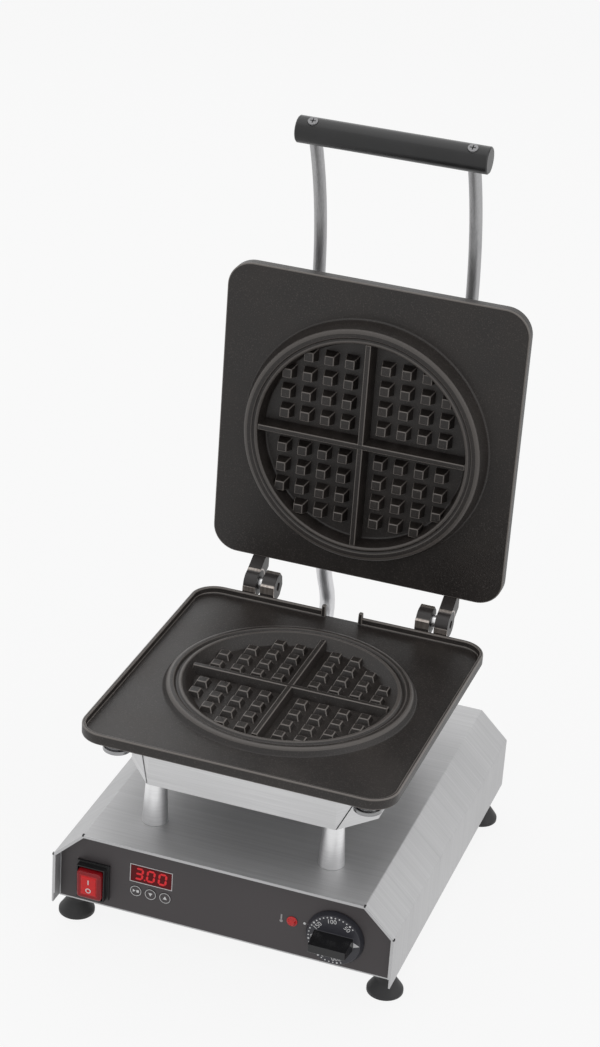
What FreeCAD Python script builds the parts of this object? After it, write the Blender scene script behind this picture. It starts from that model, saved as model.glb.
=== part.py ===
"""Commercial round waffle maker on a sheet steel base, lid open, in millimetres.

+Z is up and the control panel faces -Y. The origin is on the table, below the middle of the object.
Both baking halves are drawn in one hinge frame: the origin is on the hinge line, +Y runs from the
hinge to the front edge and +Z is the cooking side.
"""
import FreeCAD, Part
import math
import os
import re

import Sketcher
from FreeCAD import Placement, Rotation, Vector

# Driving sizes, one cell each
SIZES = {
    # Sheet steel hood of the base
    "base_width": 320, "base_depth": 365, "foot_height": 25, "wall_height": 51,
    "shoulder_rise": 27, "top_width": 264, "sheet_thick": 1.5, "bend_radius": 3,
    "hem_depth": 9, "hem_thick": 1.2, "front_y": -198.91,
    # Panels and floor of the base
    "panel_setback": 12, "panel_thick": 1.5, "panel_gap": 0.25, "foil_thick": 0.4,
    "foil_border": 1.7, "floor_thick": 1.2, "vent_length": 60, "vent_width": 4, "vent_pitch": 12,
    # Feet
    "foot_edge": 12, "foot_inset": 30, "foot_radius": 16.5, "foot_neck": 9, "foot_rim": 3.5, "foot_flare": 11,
    "foot_screw_radius": 2.5, "foot_head_radius": 4.8, "foot_head_height": 4, "foot_head_depth": 6,
    "foot_screw_rise": 7,
    # Rocker switch
    "switch_x": -124.6, "switch_z": 26.8, "rocker_width": 24, "rocker_height": 29,
    "rocker_proud": 13, "rocker_back": 3, "rocker_gap": 0.3, "rocker_tip": 3, "tip_gap": 1.3,
    "bezel_margin": 3.5, "bezel_thick": 2.5, "sleeve_wall": 1, "sleeve_depth": 9, "collar_rise": 9,
    "switch_depth": 22, "pivot_radius": 1.5, "pivot_reach": 0.9,
    # Display and keys
    "display_x": -69.8, "display_z": 43.9, "display_width": 39.5, "display_height": 17.5,
    "key_pitch": 14, "key_z": 25.5, "key_radius": 5.5, "key_proud": 0.5, "key_flange": 1,
    "key_flange_thick": 0.9, "key_travel": 0.5, "key_gap": 0.3,
    "board_width": 80, "board_height": 48, "board_thick": 1.6, "board_setback": 14,
    "post_radius": 2.5,
    # Pilot lamp, thermostat and its knob
    "lamp_x": 63.7, "lamp_z": 35.5, "lamp_radius": 4.2, "lamp_depth": 22,
    "knob_x": 104, "knob_z": 30.6, "knob_radius": 27, "skirt_thick": 5, "skirt_draft": 2.5,
    "bar_length": 36, "bar_width": 13, "bar_height": 20, "bar_tip_length": 34, "bar_tip_width": 7.6,
    "knob_gap": 0.6,
    "shaft_radius": 3, "shaft_fit": 0.05, "neck_radius": 5, "thermostat_width": 42,
    "thermostat_height": 36, "thermostat_depth": 30,
    # Rear of the base
    "gland_x": 95, "gland_z": 30, "gland_radius": 11, "gland_bore": 4.2, "gland_length": 26,
    "block_length": 60, "block_width": 24, "block_height": 22, "cutout_radius": 9,
    "cutout_length": 24,
    # Pillars that carry the lower half
    "pillar_x": 83.6, "pillar_span": 108, "pillar_height": 42, "pillar_foot": 12,
    "pillar_top": 9.5, "bolt_radius": 3, "bolt_gap": 0.2, "bolt_head": 5.5, "bolt_head_height": 4,
    "nut_radius": 5.8, "nut_height": 5,
    # Folded casings behind the plates
    "casing_height": 51.5, "lid_casing_height": 60, "casing_thick": 1.2, "casing_front": 88,
    "casing_side": 117, "casing_half_depth": 119, "corner_cut": 34.4, "tab_thick": 2,
    "tab_reach": 13, "tab_root": 22,
    # Thumb nuts that hold the plates
    "thumb_x": 116.5, "thumb_span": 122.2, "thumb_radius": 10, "thumb_height": 14,
    "thumb_flange": 13, "thumb_flange_thick": 4, "stud_radius": 4, "stud_gap": 0.1,
    "stud_seat": 3,
    # Hinge
    "hinge_setback": 322.5, "axis_over_rim": 5, "lid_offset": 13, "open_lean": 1,
    "closing_gap": 0.4, "lug_radius": 12, "low_lug_inner": 71, "low_lug_outer": 85,
    "lid_lug_inner": 90, "lid_lug_outer": 103, "lug_crest": 13, "lug_crest_back": 5, "lug_rear": 11,
    "pin_radius": 4, "pin_fit": 0.05,
    "pin_recess": 2, "spacer_radius": 6.5, "spacer_gap": 0.3, "stop_gap": 0.35,
    # Cast plates
    "plate_width": 291, "plate_corner": 25, "mould_setback": 159, "low_front": 4,
    "low_rear_gap": 13.5, "tray_thick": 4, "rim_rise": 6.5, "rim_width": 3.5,
    "spout_width": 33, "ear_width": 4, "ear_rise": 5, "lid_front_gap": 1, "lid_rear_gap": 21.5,
    "lid_thick": 11,
    # Round mould in each plate
    "low_ring_base": 115, "low_ring_top": 110, "low_bowl": 97.5, "low_floor": 88,
    "low_depth": 9.6, "low_stud": 5, "low_boss": 106, "low_boss_drop": 8,
    "lid_ring_base": 119.5, "lid_ring_top": 114.3, "lid_bowl": 102, "lid_floor": 98.5,
    "lid_depth": 15.5, "lid_stud": 10.5, "lid_boss": 106, "lid_boss_drop": 4,
    "groove_inset": 3.5, "groove_width": 2, "groove_depth": 1,
    "stud_first": 17.5, "stud_pitch": 20, "stud_tip": 9, "stud_base": 13.5,
    "rib_tip": 5, "rib_base": 10, "rib_drop": 1,
    # Heating behind each plate
    "heater_radius": 78, "heater_tube": 4, "clamp_thick": 2, "clamp_radius": 92,
    "terminal_length": 22, "terminal_radius": 3, "terminal_spread": 14, "wool_gap": 2,
    # Handle
    "rod_x": 74.7, "rod_radius": 6, "rod_back": 68, "rod_bend": 328, "rod_turn": 30.4,
    "rod_tail": 16, "rod_nut_radius": 10, "rod_nut_height": 7, "grip_radius": 12.5,
    "grip_length": 180, "grip_chamfer": 1, "grip_screw_radius": 2, "grip_screw_depth": 12,
    "grip_head_radius": 4.8, "grip_head_height": 2.2, "grip_head_sink": 1.2,
    # Conduit between the base and the lid
    "conduit_radius": 7.5, "conduit_fit": 0.1, "conduit_base_x": -33, "conduit_base_y": 343,
    "conduit_lid_x": -40, "conduit_lid_back": 40, "conduit_tail": 8, "conduit_neck": 8.2,
    "conduit_rise": 38, "slack_back": 16.5, "slack_share": 0.4234, "conduit_lead": 22.5,
    "collar_radius": 9.5,
    "conduit_flange": 12, "conduit_flange_thick": 4, "conduit_collar": 8,
}

STUDS_PER_ROW = 4
VENT_ROWS = 5
SIDES = (-1, 1)
NODES = []

doc = FreeCAD.newDocument("WaffleMaker")
sheet = doc.addObject("Spreadsheet::Sheet", "Sizes")
for row, (alias, number) in enumerate(SIZES.items(), 1):
    sheet.set(f"A{row}", alias)
    sheet.set(f"B{row}", str(number))
    sheet.setAlias(f"B{row}", alias)
doc.recompute()

# Places worked out from the driving sizes
WALL_TOP = "(foot_height + wall_height)"
TOP_Z = "(foot_height + wall_height + shoulder_rise)"
FOIL_Y = "(front_y + panel_setback)"
PANEL_Y = "(front_y + panel_setback + foil_thick)"
PANEL_BACK = "(front_y + panel_setback + foil_thick + panel_thick)"
REAR_Y = "(front_y + base_depth - panel_setback)"
REAR_IN = "(front_y + base_depth - panel_setback - panel_thick)"
FLOOR_TOP = "(foot_height + floor_thick)"
CASING_Z = f"({TOP_Z} + pillar_height)"
HINGE_Y = "(front_y + hinge_setback)"
HINGE_Z = f"({CASING_Z} + casing_height + tray_thick + rim_rise + axis_over_rim)"
MOULD_Y = "(front_y + mould_setback)"
MOULD = "(hinge_setback - mould_setback)"
LOW_RIM = "(-axis_over_rim)"
LOW_FLAT = "(-axis_over_rim - rim_rise)"
LOW_BACK = "(-axis_over_rim - rim_rise - tray_thick)"
LID_FLAT = "(-lid_offset)"
LID_BACK = "(-lid_offset - lid_thick)"
LID_RING = "(axis_over_rim - closing_gap)"
LOW_FRONT_EDGE = "(hinge_setback - low_front)"
FOOT_X = "(base_width/2 - foot_edge)"
LID_FRONT_EDGE = "(hinge_setback - low_front - lid_front_gap)"
SHOULDER = "((base_width - top_width)/2)"
ROD_START = f"({MOULD} + casing_half_depth)"
GRIP_Y = f"({ROD_START} + rod_bend*sin(rod_turn))"
GRIP_Z = "(-rod_back + rod_bend*(1 - cos(rod_turn)))"
LOW_HINGE_FRAME = ("create(<<placement>>;create(<<vector>>;0;{y};{z});"
                   "create(<<rotation>>;create(<<vector>>;0;0;1);180))")
LID_HINGE_FRAME = ("create(<<placement>>;create(<<vector>>;0;{y};{z});"
                   "create(<<rotation>>;create(<<vector>>;1;0;0);90 - open_lean))")
WORD = re.compile(r"[a-z_]+[a-z]")


def sheet_words(text):
    """Point every size name in an expression at its cell."""
    return WORD.sub(lambda m: f"Sizes.{m.group(0)}" if m.group(0) in SIZES else m.group(0), str(text))


def value(text):
    """The present number of an expression on the sheet."""
    return float(sheet.evalExpression(sheet_words(text)))


def bind(item, **links):
    for name, text in links.items():
        item.setExpression(name.replace("__", "."), sheet_words(text))
    return item


def at(item, x=0, y=0, z=0):
    return bind(item, Placement__Base__x=x, Placement__Base__y=y, Placement__Base__z=z)


def piece(label, item, frame=None):
    """Name a finished piece and set its frame."""
    item.Label = label
    if frame:
        text = frame.format(y=HINGE_Y, z=HINGE_Z)
        item.setExpression("Placement", sheet_words(text))
    NODES.append(item)
    return item


def box(x, y, z):
    """A box from three (low, high) pairs."""
    item = doc.addObject("Part::Box", "Box")
    bind(item, Length=f"{x[1]} - ({x[0]})", Width=f"{y[1]} - ({y[0]})", Height=f"{z[1]} - ({z[0]})")
    return at(item, x[0], y[0], z[0])


TURN = {"x": Rotation(Vector(0, 1, 0), 90), "y": Rotation(Vector(1, 0, 0), -90), "z": Rotation()}


def cylinder(radius, height, x=0, y=0, z=0, axis="z"):
    item = doc.addObject("Part::Cylinder", "Cylinder")
    item.Placement = Placement(Vector(), TURN[axis])
    bind(item, Radius=radius, Height=height)
    return at(item, x, y, z)


def cone(low_radius, high_radius, height, x=0, y=0, z=0, axis="z"):
    item = doc.addObject("Part::Cone", "Cone")
    item.Placement = Placement(Vector(), TURN[axis])
    bind(item, Radius1=low_radius, Radius2=high_radius, Height=height)
    return at(item, x, y, z)


def hexagon(radius, height, x=0, y=0, z=0, axis="z"):
    item = doc.addObject("Part::Prism", "Hexagon")
    item.Polygon = 6
    item.Placement = Placement(Vector(), TURN[axis])
    bind(item, Circumradius=radius, Height=height)
    return at(item, x, y, z)


def fuse(*items):
    item = doc.addObject("Part::MultiFuse", "Fuse")
    item.Shapes = list(items)
    return item


def cut(base, *tools):
    item = doc.addObject("Part::Cut", "Cut")
    item.Base = base
    item.Tool = tools[0] if len(tools) == 1 else fuse(*tools)
    return item


def common(first, second):
    item = doc.addObject("Part::Common", "Common")
    item.Base = first
    item.Tool = second
    return item


def group(items):
    item = doc.addObject("Part::Compound", "Group")
    item.Links = list(items)
    return item


def four(maker, x, y, centre):
    """One copy at each corner of a rectangle about the point (0, centre)."""
    return [maker(f"{sx}*{x}", f"{centre} + {sy}*{y}") for sx in SIDES for sy in SIDES]


class Sketched:
    """A body made of sketches whose corners and circles follow the sheet."""

    def __init__(self, name):
        self.body = doc.addObject("PartDesign::Body", name)

    def sketch(self, plane, loops, lift=0):
        item = self.body.newObject("Sketcher::SketchObject", "Outline")
        role = f"{plane}_Plane"
        support = [f for f in self.body.Origin.OriginFeatures if f.Role == role][0]
        item.AttachmentSupport = [(support, "")]
        item.MapMode = "FlatFace"
        bind(item, AttachmentOffset__Base__z=lift)
        for loop in loops:
            if len(loop) == 3 and isinstance(loop[0], str):
                self.circle(item, *loop)
            else:
                self.polygon(item, loop)
        return item

    def pin_point(self, item, geometry, position, x, y):
        for kind, text in (("DistanceX", x), ("DistanceY", y)):
            rule = Sketcher.Constraint(kind, -1, 1, geometry, position, value(text))
            index = item.addConstraint(rule)
            item.setExpression(f"Constraints[{index}]", sheet_words(text))

    def circle(self, item, x, y, radius):
        middle = Vector(value(x), value(y), 0)
        index = item.addGeometry(Part.Circle(middle, Vector(0, 0, 1), value(radius)), False)
        self.pin_point(item, index, 3, x, y)
        rule = item.addConstraint(Sketcher.Constraint("Radius", index, value(radius)))
        item.setExpression(f"Constraints[{rule}]", sheet_words(radius))

    def polygon(self, item, corners):
        points = [Vector(value(x), value(y), 0) for x, y in corners]
        lines = [item.addGeometry(Part.LineSegment(a, b), False)
                 for a, b in zip(points, points[1:] + points[:1])]
        for this, following in zip(lines, lines[1:] + lines[:1]):
            item.addConstraint(Sketcher.Constraint("Coincident", this, 2, following, 1))
        for line, (x, y) in zip(lines, corners):
            self.pin_point(item, line, 1, x, y)

    def pad(self, plane, loops, length, lift=0, reverse=False, midplane=False):
        item = self.body.newObject("PartDesign::Pad", "Pad")
        item.Profile = self.sketch(plane, loops, lift)
        item.Reversed = reverse
        item.Midplane = midplane
        bind(item, Length=length)
        return self

    def pocket(self, plane, loops, length, lift=0, reverse=False, midplane=False):
        item = self.body.newObject("PartDesign::Pocket", "Pocket")
        item.Profile = self.sketch(plane, loops, lift)
        item.Reversed = reverse
        item.Midplane = midplane
        bind(item, Length=length)
        return self

    def edges(self, wanted):
        """Names of the straight edges whose direction and middle the test accepts."""
        doc.recompute()
        shape = self.body.Tip.Shape
        names = []
        for index, edge in enumerate(shape.Edges, 1):
            if len(edge.Vertexes) == 2 and isinstance(edge.Curve, Part.Line):
                run = (edge.Vertexes[1].Point - edge.Vertexes[0].Point).normalize()
                if wanted(run, edge.CenterOfMass):
                    names.append(f"Edge{index}")
        return names

    def fillet(self, radius, wanted):
        names = self.edges(wanted)
        base = self.body.Tip
        item = self.body.newObject("PartDesign::Fillet", "Round")
        item.Base = (base, names)
        bind(item, Radius=radius)
        return self


def rectangle(x, y):
    return [(x[0], y[0]), (x[1], y[0]), (x[1], y[1]), (x[0], y[1])]


def centred(middle, width):
    return (f"{middle} - ({width})/2", f"{middle} + ({width})/2")


def rounded_block(name, x, y, z, radius):
    """A block with its four upright edges rounded."""
    block = Sketched(name)
    block.pad("XY", [rectangle(x, y)], f"{z[1]} - ({z[0]})", lift=z[0])
    block.fillet(radius, lambda run, middle: abs(run.z) > 0.99)
    return block.body


def near(first, second):
    return abs(first - second) < 0.01


# Outline of the hood's section, set in by a distance from its outer skin
def hood_outline(inset, bottom):
    half = f"base_width/2 - ({inset})"
    low = f"{WALL_TOP} - ({inset})*tan(atan({SHOULDER}/shoulder_rise)/2)"
    flat = f"top_width/2 - ({inset})*tan(atan(shoulder_rise/{SHOULDER})/2)"
    top = f"{TOP_Z} - ({inset})"
    right = [(half, bottom), (half, low), (flat, top)]
    left = [(f"-({x})", z) for x, z in reversed(right)]
    return right + left


def band(outer, inner):
    """A sheet section between two open outlines."""
    return outer + list(reversed(inner))


def base_housing():
    skin = hood_outline("0", "foot_height")
    inside = hood_outline("sheet_thick", "foot_height")
    hem = hood_outline("sheet_thick + hem_thick", "foot_height + hem_depth")
    hem_skin = hood_outline("sheet_thick", "foot_height + hem_depth")
    hood = Sketched("BaseHousing")
    hood.pad("XZ", [band(skin, inside)], "base_depth", midplane=True)
    hood.pad("XZ", [band(hem_skin, hem)], "hem_depth", lift="base_depth/2", reverse=True)
    hood.pad("XZ", [band(hem_skin, hem)], "hem_depth", lift="-base_depth/2")
    mould = "mould_setback - base_depth/2"
    holes = [(f"{sx}*pillar_x", f"{mould} + {sy}*pillar_span", "bolt_radius + bolt_gap")
             for sx in SIDES for sy in SIDES]
    holes.append(("conduit_base_x", "conduit_base_y - base_depth/2", "conduit_neck + bolt_gap"))
    hood.pocket("XY", holes, "foot_height + wall_height", lift=TOP_Z, midplane=True)
    bends = ((value("base_width/2"), value(WALL_TOP)), (value("top_width/2"), value(TOP_Z)))

    def is_bend(run, middle):
        return abs(run.y) > 0.99 and any(near(abs(middle.x), x) and near(middle.z, z) for x, z in bends)

    hood.fillet("bend_radius", is_bend)
    at(hood.body, y="front_y + base_depth/2")
    piece("base_housing", hood.body)


def key_places():
    return [f"display_x + {step}*key_pitch" for step in (-1, 0, 1)]


def control_holes(grow):
    """Cut-outs shared by the front panel and its foil."""
    window_x = centred("display_x", "display_width")
    window_z = centred("foot_height + display_z", "display_height")
    sleeve_x = centred("switch_x", "rocker_width + 2*(rocker_gap + sleeve_wall + panel_gap)")
    sleeve_z = centred("foot_height + switch_z", "rocker_height + 2*(tip_gap + sleeve_wall + panel_gap)")
    holes = [rectangle(sleeve_x, sleeve_z), rectangle(window_x, window_z)]
    holes += [(x, "foot_height + key_z", "key_radius + key_gap") for x in key_places()]
    holes.append(("lamp_x", "foot_height + lamp_z", f"lamp_radius + {grow}"))
    holes.append(("knob_x", "foot_height + knob_z", f"neck_radius + {grow}"))
    return holes


def front_panel():
    panel = Sketched("FrontPanel")
    panel.pad("XZ", [hood_outline("sheet_thick + panel_gap", "foot_height")], "panel_thick")
    panel.pocket("XZ", control_holes("bolt_gap"), "4*panel_thick", midplane=True)
    piece("front_panel", at(panel.body, y=PANEL_BACK))
    foil = Sketched("FrontFoil")
    inset = "sheet_thick + panel_gap + foil_border"
    foil.pad("XZ", [hood_outline(inset, "foot_height + foil_border")], "foil_thick")
    foil.pocket("XZ", control_holes("bolt_gap"), "4*foil_thick", midplane=True)
    piece("front_foil", at(foil.body, y=PANEL_Y))


def rear_panel():
    panel = Sketched("RearPanel")
    panel.pad("XZ", [hood_outline("sheet_thick + panel_gap", "foot_height")], "panel_thick")
    holes = [("gland_x", "foot_height + gland_z", "gland_radius - 2 + bolt_gap")]
    for step in range(VENT_ROWS):
        low = f"foot_height + vent_pitch*{step + 1}"
        holes.append(rectangle(("-vent_length", "vent_length/2"), (low, f"{low} + vent_width")))
    panel.pocket("XZ", holes, "4*panel_thick", midplane=True)
    piece("rear_panel", at(panel.body, y=REAR_Y))


def bottom_plate():
    reach = "base_width/2 - sheet_thick - panel_gap"
    slab = box((f"-({reach})", reach), (PANEL_BACK, REAR_IN), ("foot_height", FLOOR_TOP))
    middle = "front_y + base_depth/2"
    holes = four(lambda x, y: cylinder("foot_screw_radius + bolt_gap", "3*floor_thick", x, y,
                                       "foot_height - floor_thick"),
                 FOOT_X, "(base_depth/2 - foot_inset)", middle)
    for side in SIDES:
        for step in range(VENT_ROWS):
            low = f"{middle} + {side}*vent_length + vent_pitch*({step} - {VENT_ROWS // 2})"
            holes.append(box(("-vent_length/2", "vent_length/2"), (low, f"{low} + vent_width"),
                             ("foot_height - floor_thick", "foot_height + 2*floor_thick")))
    piece("bottom_plate", cut(slab, *holes))


def foot_and_screw():
    middle = "front_y + base_depth/2"
    spread = "(base_depth/2 - foot_inset)"

    def foot(x, y):
        rim = cylinder("foot_radius", "foot_rim", x, y, 0)
        flare = cone("foot_radius", "foot_neck", "foot_flare", x, y, "foot_rim")
        neck = cylinder("foot_neck", "foot_height - foot_rim - foot_flare", x, y, "foot_rim + foot_flare")
        bore = cylinder("foot_screw_radius + bolt_gap", "foot_height", x, y, 0)
        well = cylinder("foot_head_radius + bolt_gap", "foot_head_depth", x, y, 0)
        return cut(fuse(rim, flare, neck), bore, well)

    def screw(x, y):
        head = cylinder("foot_head_radius", "foot_head_height", x, y, "foot_head_depth - foot_head_height")
        shank = cylinder("foot_screw_radius", "foot_height - foot_head_depth + floor_thick + foot_screw_rise",
                         x, y, "foot_head_depth")
        return fuse(head, shank)

    piece("feet", group(four(foot, FOOT_X, spread, middle)))
    piece("foot_screws", group(four(screw, FOOT_X, spread, middle)))
    nut = [cut(hexagon("nut_radius", "nut_height", x, y, FLOOR_TOP),
               cylinder("foot_screw_radius + pin_fit", "nut_height", x, y, FLOOR_TOP))
           for x, y in four(lambda x, y: (x, y), FOOT_X, spread, middle)]
    piece("foot_nuts", group(nut))


def rocker_switch():
    x, z = "switch_x", "(foot_height + switch_z)"
    across = "(rocker_width + 2*rocker_gap)"
    upright = "(rocker_height + 2*tip_gap)"
    sleeve_x = centred(x, f"{across} + 2*sleeve_wall")
    sleeve_z = centred(z, f"{upright} + 2*sleeve_wall")
    flange = box(centred(x, "rocker_width + 2*bezel_margin"), (f"{FOIL_Y} - bezel_thick", FOIL_Y),
                 centred(z, "rocker_height + 2*bezel_margin"))
    sleeve = box(sleeve_x, (f"{FOIL_Y} - collar_rise", f"{FOIL_Y} + sleeve_depth"), sleeve_z)
    opening = box(centred(x, across), (f"{FOIL_Y} - 2*collar_rise", f"{FOIL_Y} + 2*sleeve_depth"),
                  centred(z, upright))
    bearing = cylinder("pivot_radius + pin_fit", f"{across} + 2*sleeve_wall",
                       f"{x} - {across}/2 - sleeve_wall", FOIL_Y, z, "x")
    piece("switch_bezel", cut(fuse(flange, sleeve), opening, bearing))
    body = box(sleeve_x, (f"{FOIL_Y} + sleeve_depth", f"{FOIL_Y} + sleeve_depth + switch_depth"), sleeve_z)
    piece("switch_body", body)
    # The cap rests tipped to its off side, about the axle
    cap = box(centred("0", "rocker_width"), ("-rocker_proud", "rocker_back"), centred("0", "rocker_height"))
    axle = cylinder("pivot_radius", "rocker_width + 2*pivot_reach", "-rocker_width/2 - pivot_reach",
                    axis="x")
    rocker = fuse(cap, axle)
    tipped = ("create(<<placement>>;create(<<vector>>;{x};{y};{z});"
              "create(<<rotation>>;create(<<vector>>;1;0;0);rocker_tip))")
    rocker.setExpression("Placement", sheet_words(tipped.format(x=x, y=FOIL_Y, z=z)))
    piece("switch_rocker", rocker)


def display_and_keys():
    z = "(foot_height + display_z)"
    window = box(centred("display_x", "display_width - panel_gap"), (FOIL_Y, PANEL_BACK),
                 centred(z, "display_height - panel_gap"))
    piece("display_window", window)
    board_front = f"({PANEL_BACK} + board_setback)"
    board_z = "(foot_height + (display_z + key_z)/2)"
    piece("digit_display", box(centred("display_x", "display_width - 2"), (PANEL_BACK, board_front),
                               centred(z, "display_height - 1")))
    board = box(centred("display_x", "board_width"), (board_front, f"{board_front} + board_thick"),
                centred(board_z, "board_height"))
    piece("timer_board", board)
    posts = [cylinder("post_radius", "board_setback", f"display_x + {sx}*(board_width/2 - 2*post_radius)",
                      PANEL_BACK, f"{board_z} + {sz}*(board_height/2 - 2*post_radius)", "y")
             for sx in SIDES for sz in SIDES]
    piece("board_posts", group(posts))
    flange_y = f"({PANEL_BACK} + key_gap)"
    key_back = f"({flange_y} + key_flange_thick)"
    switch_front = f"({key_back} + key_travel + key_gap)"
    switches = [box(centred(x, "key_radius"), (switch_front, board_front),
                    centred("foot_height + key_z", "key_radius")) for x in key_places()]
    piece("key_switches", group(switches))
    for label, x in zip(("button_mode", "button_down", "button_up"), key_places()):
        cap = cylinder("key_radius", f"{key_back} - ({FOIL_Y} - key_proud)", x, f"{FOIL_Y} - key_proud",
                       "foot_height + key_z", "y")
        rim = cylinder("key_radius + key_flange", "key_flange_thick", x, flange_y,
                       "foot_height + key_z", "y")
        piece(label, fuse(cap, rim))


def pilot_lamp():
    z = "foot_height + lamp_z"
    barrel = cylinder("lamp_radius", "lamp_depth", "lamp_x", FOIL_Y, z, "y")
    lip = cylinder("lamp_radius + 0.8", "0.8", "lamp_x", f"{FOIL_Y} - 0.8", z, "y")
    lens = cone("lamp_radius - 1.6", "lamp_radius - 0.2", "1.8", "lamp_x", f"{FOIL_Y} - 2.6", z, "y")
    piece("pilot_lamp", fuse(barrel, lip, lens))


def thermostat():
    x, z = "knob_x", "(foot_height + knob_z)"
    body = box(centred(x, "thermostat_width"), (PANEL_BACK, f"{PANEL_BACK} + thermostat_depth"),
               centred(z, "thermostat_height"))
    neck = cylinder("neck_radius", f"{PANEL_BACK} - {FOIL_Y}", x, FOIL_Y, z, "y")
    shaft_in = f"({PANEL_BACK} + thermostat_depth/2)"
    bore = cylinder("shaft_radius + shaft_fit", f"{shaft_in} - {FOIL_Y} + knob_gap", x, FOIL_Y, z, "y")
    piece("thermostat_body", cut(fuse(body, neck), bore))
    skirt_back = f"({FOIL_Y} - knob_gap)"
    bar_root = f"({skirt_back} - skirt_thick)"
    bar_tip = f"({bar_root} - bar_height)"
    shaft_end = f"({bar_root} - bar_height/2)"
    piece("thermostat_shaft", cylinder("shaft_radius", f"{shaft_in} - {shaft_end}", x, shaft_end, z, "y"))
    skirt = cone("knob_radius - skirt_draft", "knob_radius", "skirt_thick", x, bar_root, z, "y")
    bar = doc.addObject("Part::Wedge", "Bar")
    bind(bar, Xmin="-bar_tip_length/2", Xmax="bar_tip_length/2", X2min="-bar_length/2",
         X2max="bar_length/2", Zmin="-bar_tip_width/2", Zmax="bar_tip_width/2",
         Z2min="-bar_width/2", Z2max="bar_width/2", Ymin="0", Ymax="bar_height")
    at(bar, x, bar_tip, z)
    socket = cylinder("shaft_radius", f"{FOIL_Y} - {shaft_end}", x, shaft_end, z, "y")
    piece("thermostat_knob", cut(fuse(skirt, bar), socket))


def rear_fittings():
    z = "(foot_height + gland_z)"
    thread = cylinder("gland_radius - 2", "gland_length", "gland_x", f"{REAR_Y} - gland_length/2", z, "y")
    nut = hexagon("gland_radius + 1", "gland_length/4", "gland_x", REAR_Y, z, "y")
    inner = hexagon("gland_radius + 1", "gland_length/5", "gland_x", f"{REAR_IN} - gland_length/5", z, "y")
    bore = cylinder("gland_bore", "2*gland_length", "gland_x", f"{REAR_Y} - gland_length", z, "y")
    piece("cable_gland", cut(fuse(thread, nut, inner), bore))
    piece("terminal_block", box(centred("gland_x - block_length/2", "block_length"),
                                centred("front_y + base_depth*0.75", "block_width"),
                                (FLOOR_TOP, f"{FLOOR_TOP} + block_height")))
    piece("safety_cutout", cylinder("cutout_radius", "cutout_length", "-gland_x",
                                    f"{REAR_IN} - cutout_length", "foot_height + gland_z", "y"))


def pillars():
    def pillar(x, y):
        post = cone("pillar_foot", "pillar_top", "pillar_height", x, y, TOP_Z)
        return cut(post, cylinder("bolt_radius + bolt_gap", "pillar_height", x, y, TOP_Z))

    head_z = f"({TOP_Z} - sheet_thick - bolt_head_height)"
    floor_z = f"({CASING_Z} + casing_thick)"

    def bolt(x, y):
        head = hexagon("bolt_head", "bolt_head_height", x, y, head_z)
        shank = cylinder("bolt_radius", f"{floor_z} + 1.5*nut_height - {head_z}", x, y, head_z)
        return fuse(head, shank)

    def nut(x, y):
        return cut(hexagon("nut_radius", "nut_height", x, y, floor_z),
                   cylinder("bolt_radius + pin_fit", "nut_height", x, y, floor_z))

    for label, maker in (("support_pillars", pillar), ("pillar_bolts", bolt), ("pillar_nuts", nut)):
        piece(label, group(four(maker, "pillar_x", "pillar_span", MOULD_Y)))


def casing_outline(inset):
    """Octagon of a casing's walls about the mould's middle, set in by a distance."""
    run = "(casing_side - casing_front)"
    front_x = f"casing_front - ({inset})*tan(atan(corner_cut/{run})/2)"
    side_x = f"casing_side - ({inset})"
    end_y = f"casing_half_depth - ({inset})"
    side_y = f"casing_half_depth - corner_cut - ({inset})*tan(atan({run}/corner_cut)/2)"
    ring = [(1, front_x, end_y), (1, side_x, side_y), (-1, side_x, side_y), (-1, front_x, end_y)]
    right = [(x, f"{MOULD} + {sy}*({y})") for sy, x, y in ring]
    left = [(f"-({x})", y) for x, y in reversed(right)]
    return right + left


def casing(prefix, back, height, holes, frame):
    """Folded pan behind a plate, and the tabs on its corner walls that take the thumb nuts."""
    low = f"{back} - {height}"
    pan = Sketched(f"{prefix}_pan")
    pan.pad("XY", [casing_outline("0")], height, lift=low)
    pan.pocket("XY", [casing_outline("casing_thick")], f"{height} - casing_thick", lift=back)
    piece(f"{prefix}_casing", cut(pan.body, *holes(low)), frame)
    tabs = []
    for sx in SIDES:
        for sy in SIDES:
            across = (f"{sx}*(thumb_x - tab_root)", f"{sx}*(thumb_x + tab_reach)")
            along = (f"{MOULD} + {sy}*(thumb_span - tab_root)", f"{MOULD} + {sy}*(thumb_span + tab_reach)")
            across = across if sx > 0 else across[::-1]
            along = along if sy > 0 else along[::-1]
            slab = box(across, along, (f"{back} - tab_thick", back))
            hole = cylinder("stud_radius + bolt_gap", "2*tab_thick", f"{sx}*thumb_x",
                            f"{MOULD} + {sy}*thumb_span", f"{back} - 1.5*tab_thick")
            walls = Sketched(f"{prefix}_walls")
            walls.pad("XY", [casing_outline("0")], height, lift=low)
            tabs.append(cut(slab, hole, walls.body))
    piece(f"{prefix}_corner_tabs", group(tabs), frame)


def wool(label, back, height, boss_drop, hollows, frame):
    """Mineral wool slab between the casing floor and the heater clamp."""
    low = f"{back} - {height} + casing_thick"
    top = f"{back} - {boss_drop} - 2*heater_tube - clamp_thick"
    slab = Sketched(f"{label}_slab")
    slab.pad("XY", [casing_outline("casing_thick + wool_gap")], f"{top} - ({low})", lift=low)
    wells = [cylinder("2*terminal_radius", "2*terminal_length", f"{sx}*terminal_spread",
                      f"{MOULD} + heater_radius", f"{back} - {boss_drop} - heater_tube - 2*terminal_length")
             for sx in SIDES]
    piece(label, cut(slab.body, *wells, *hollows(low)), frame)


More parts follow.
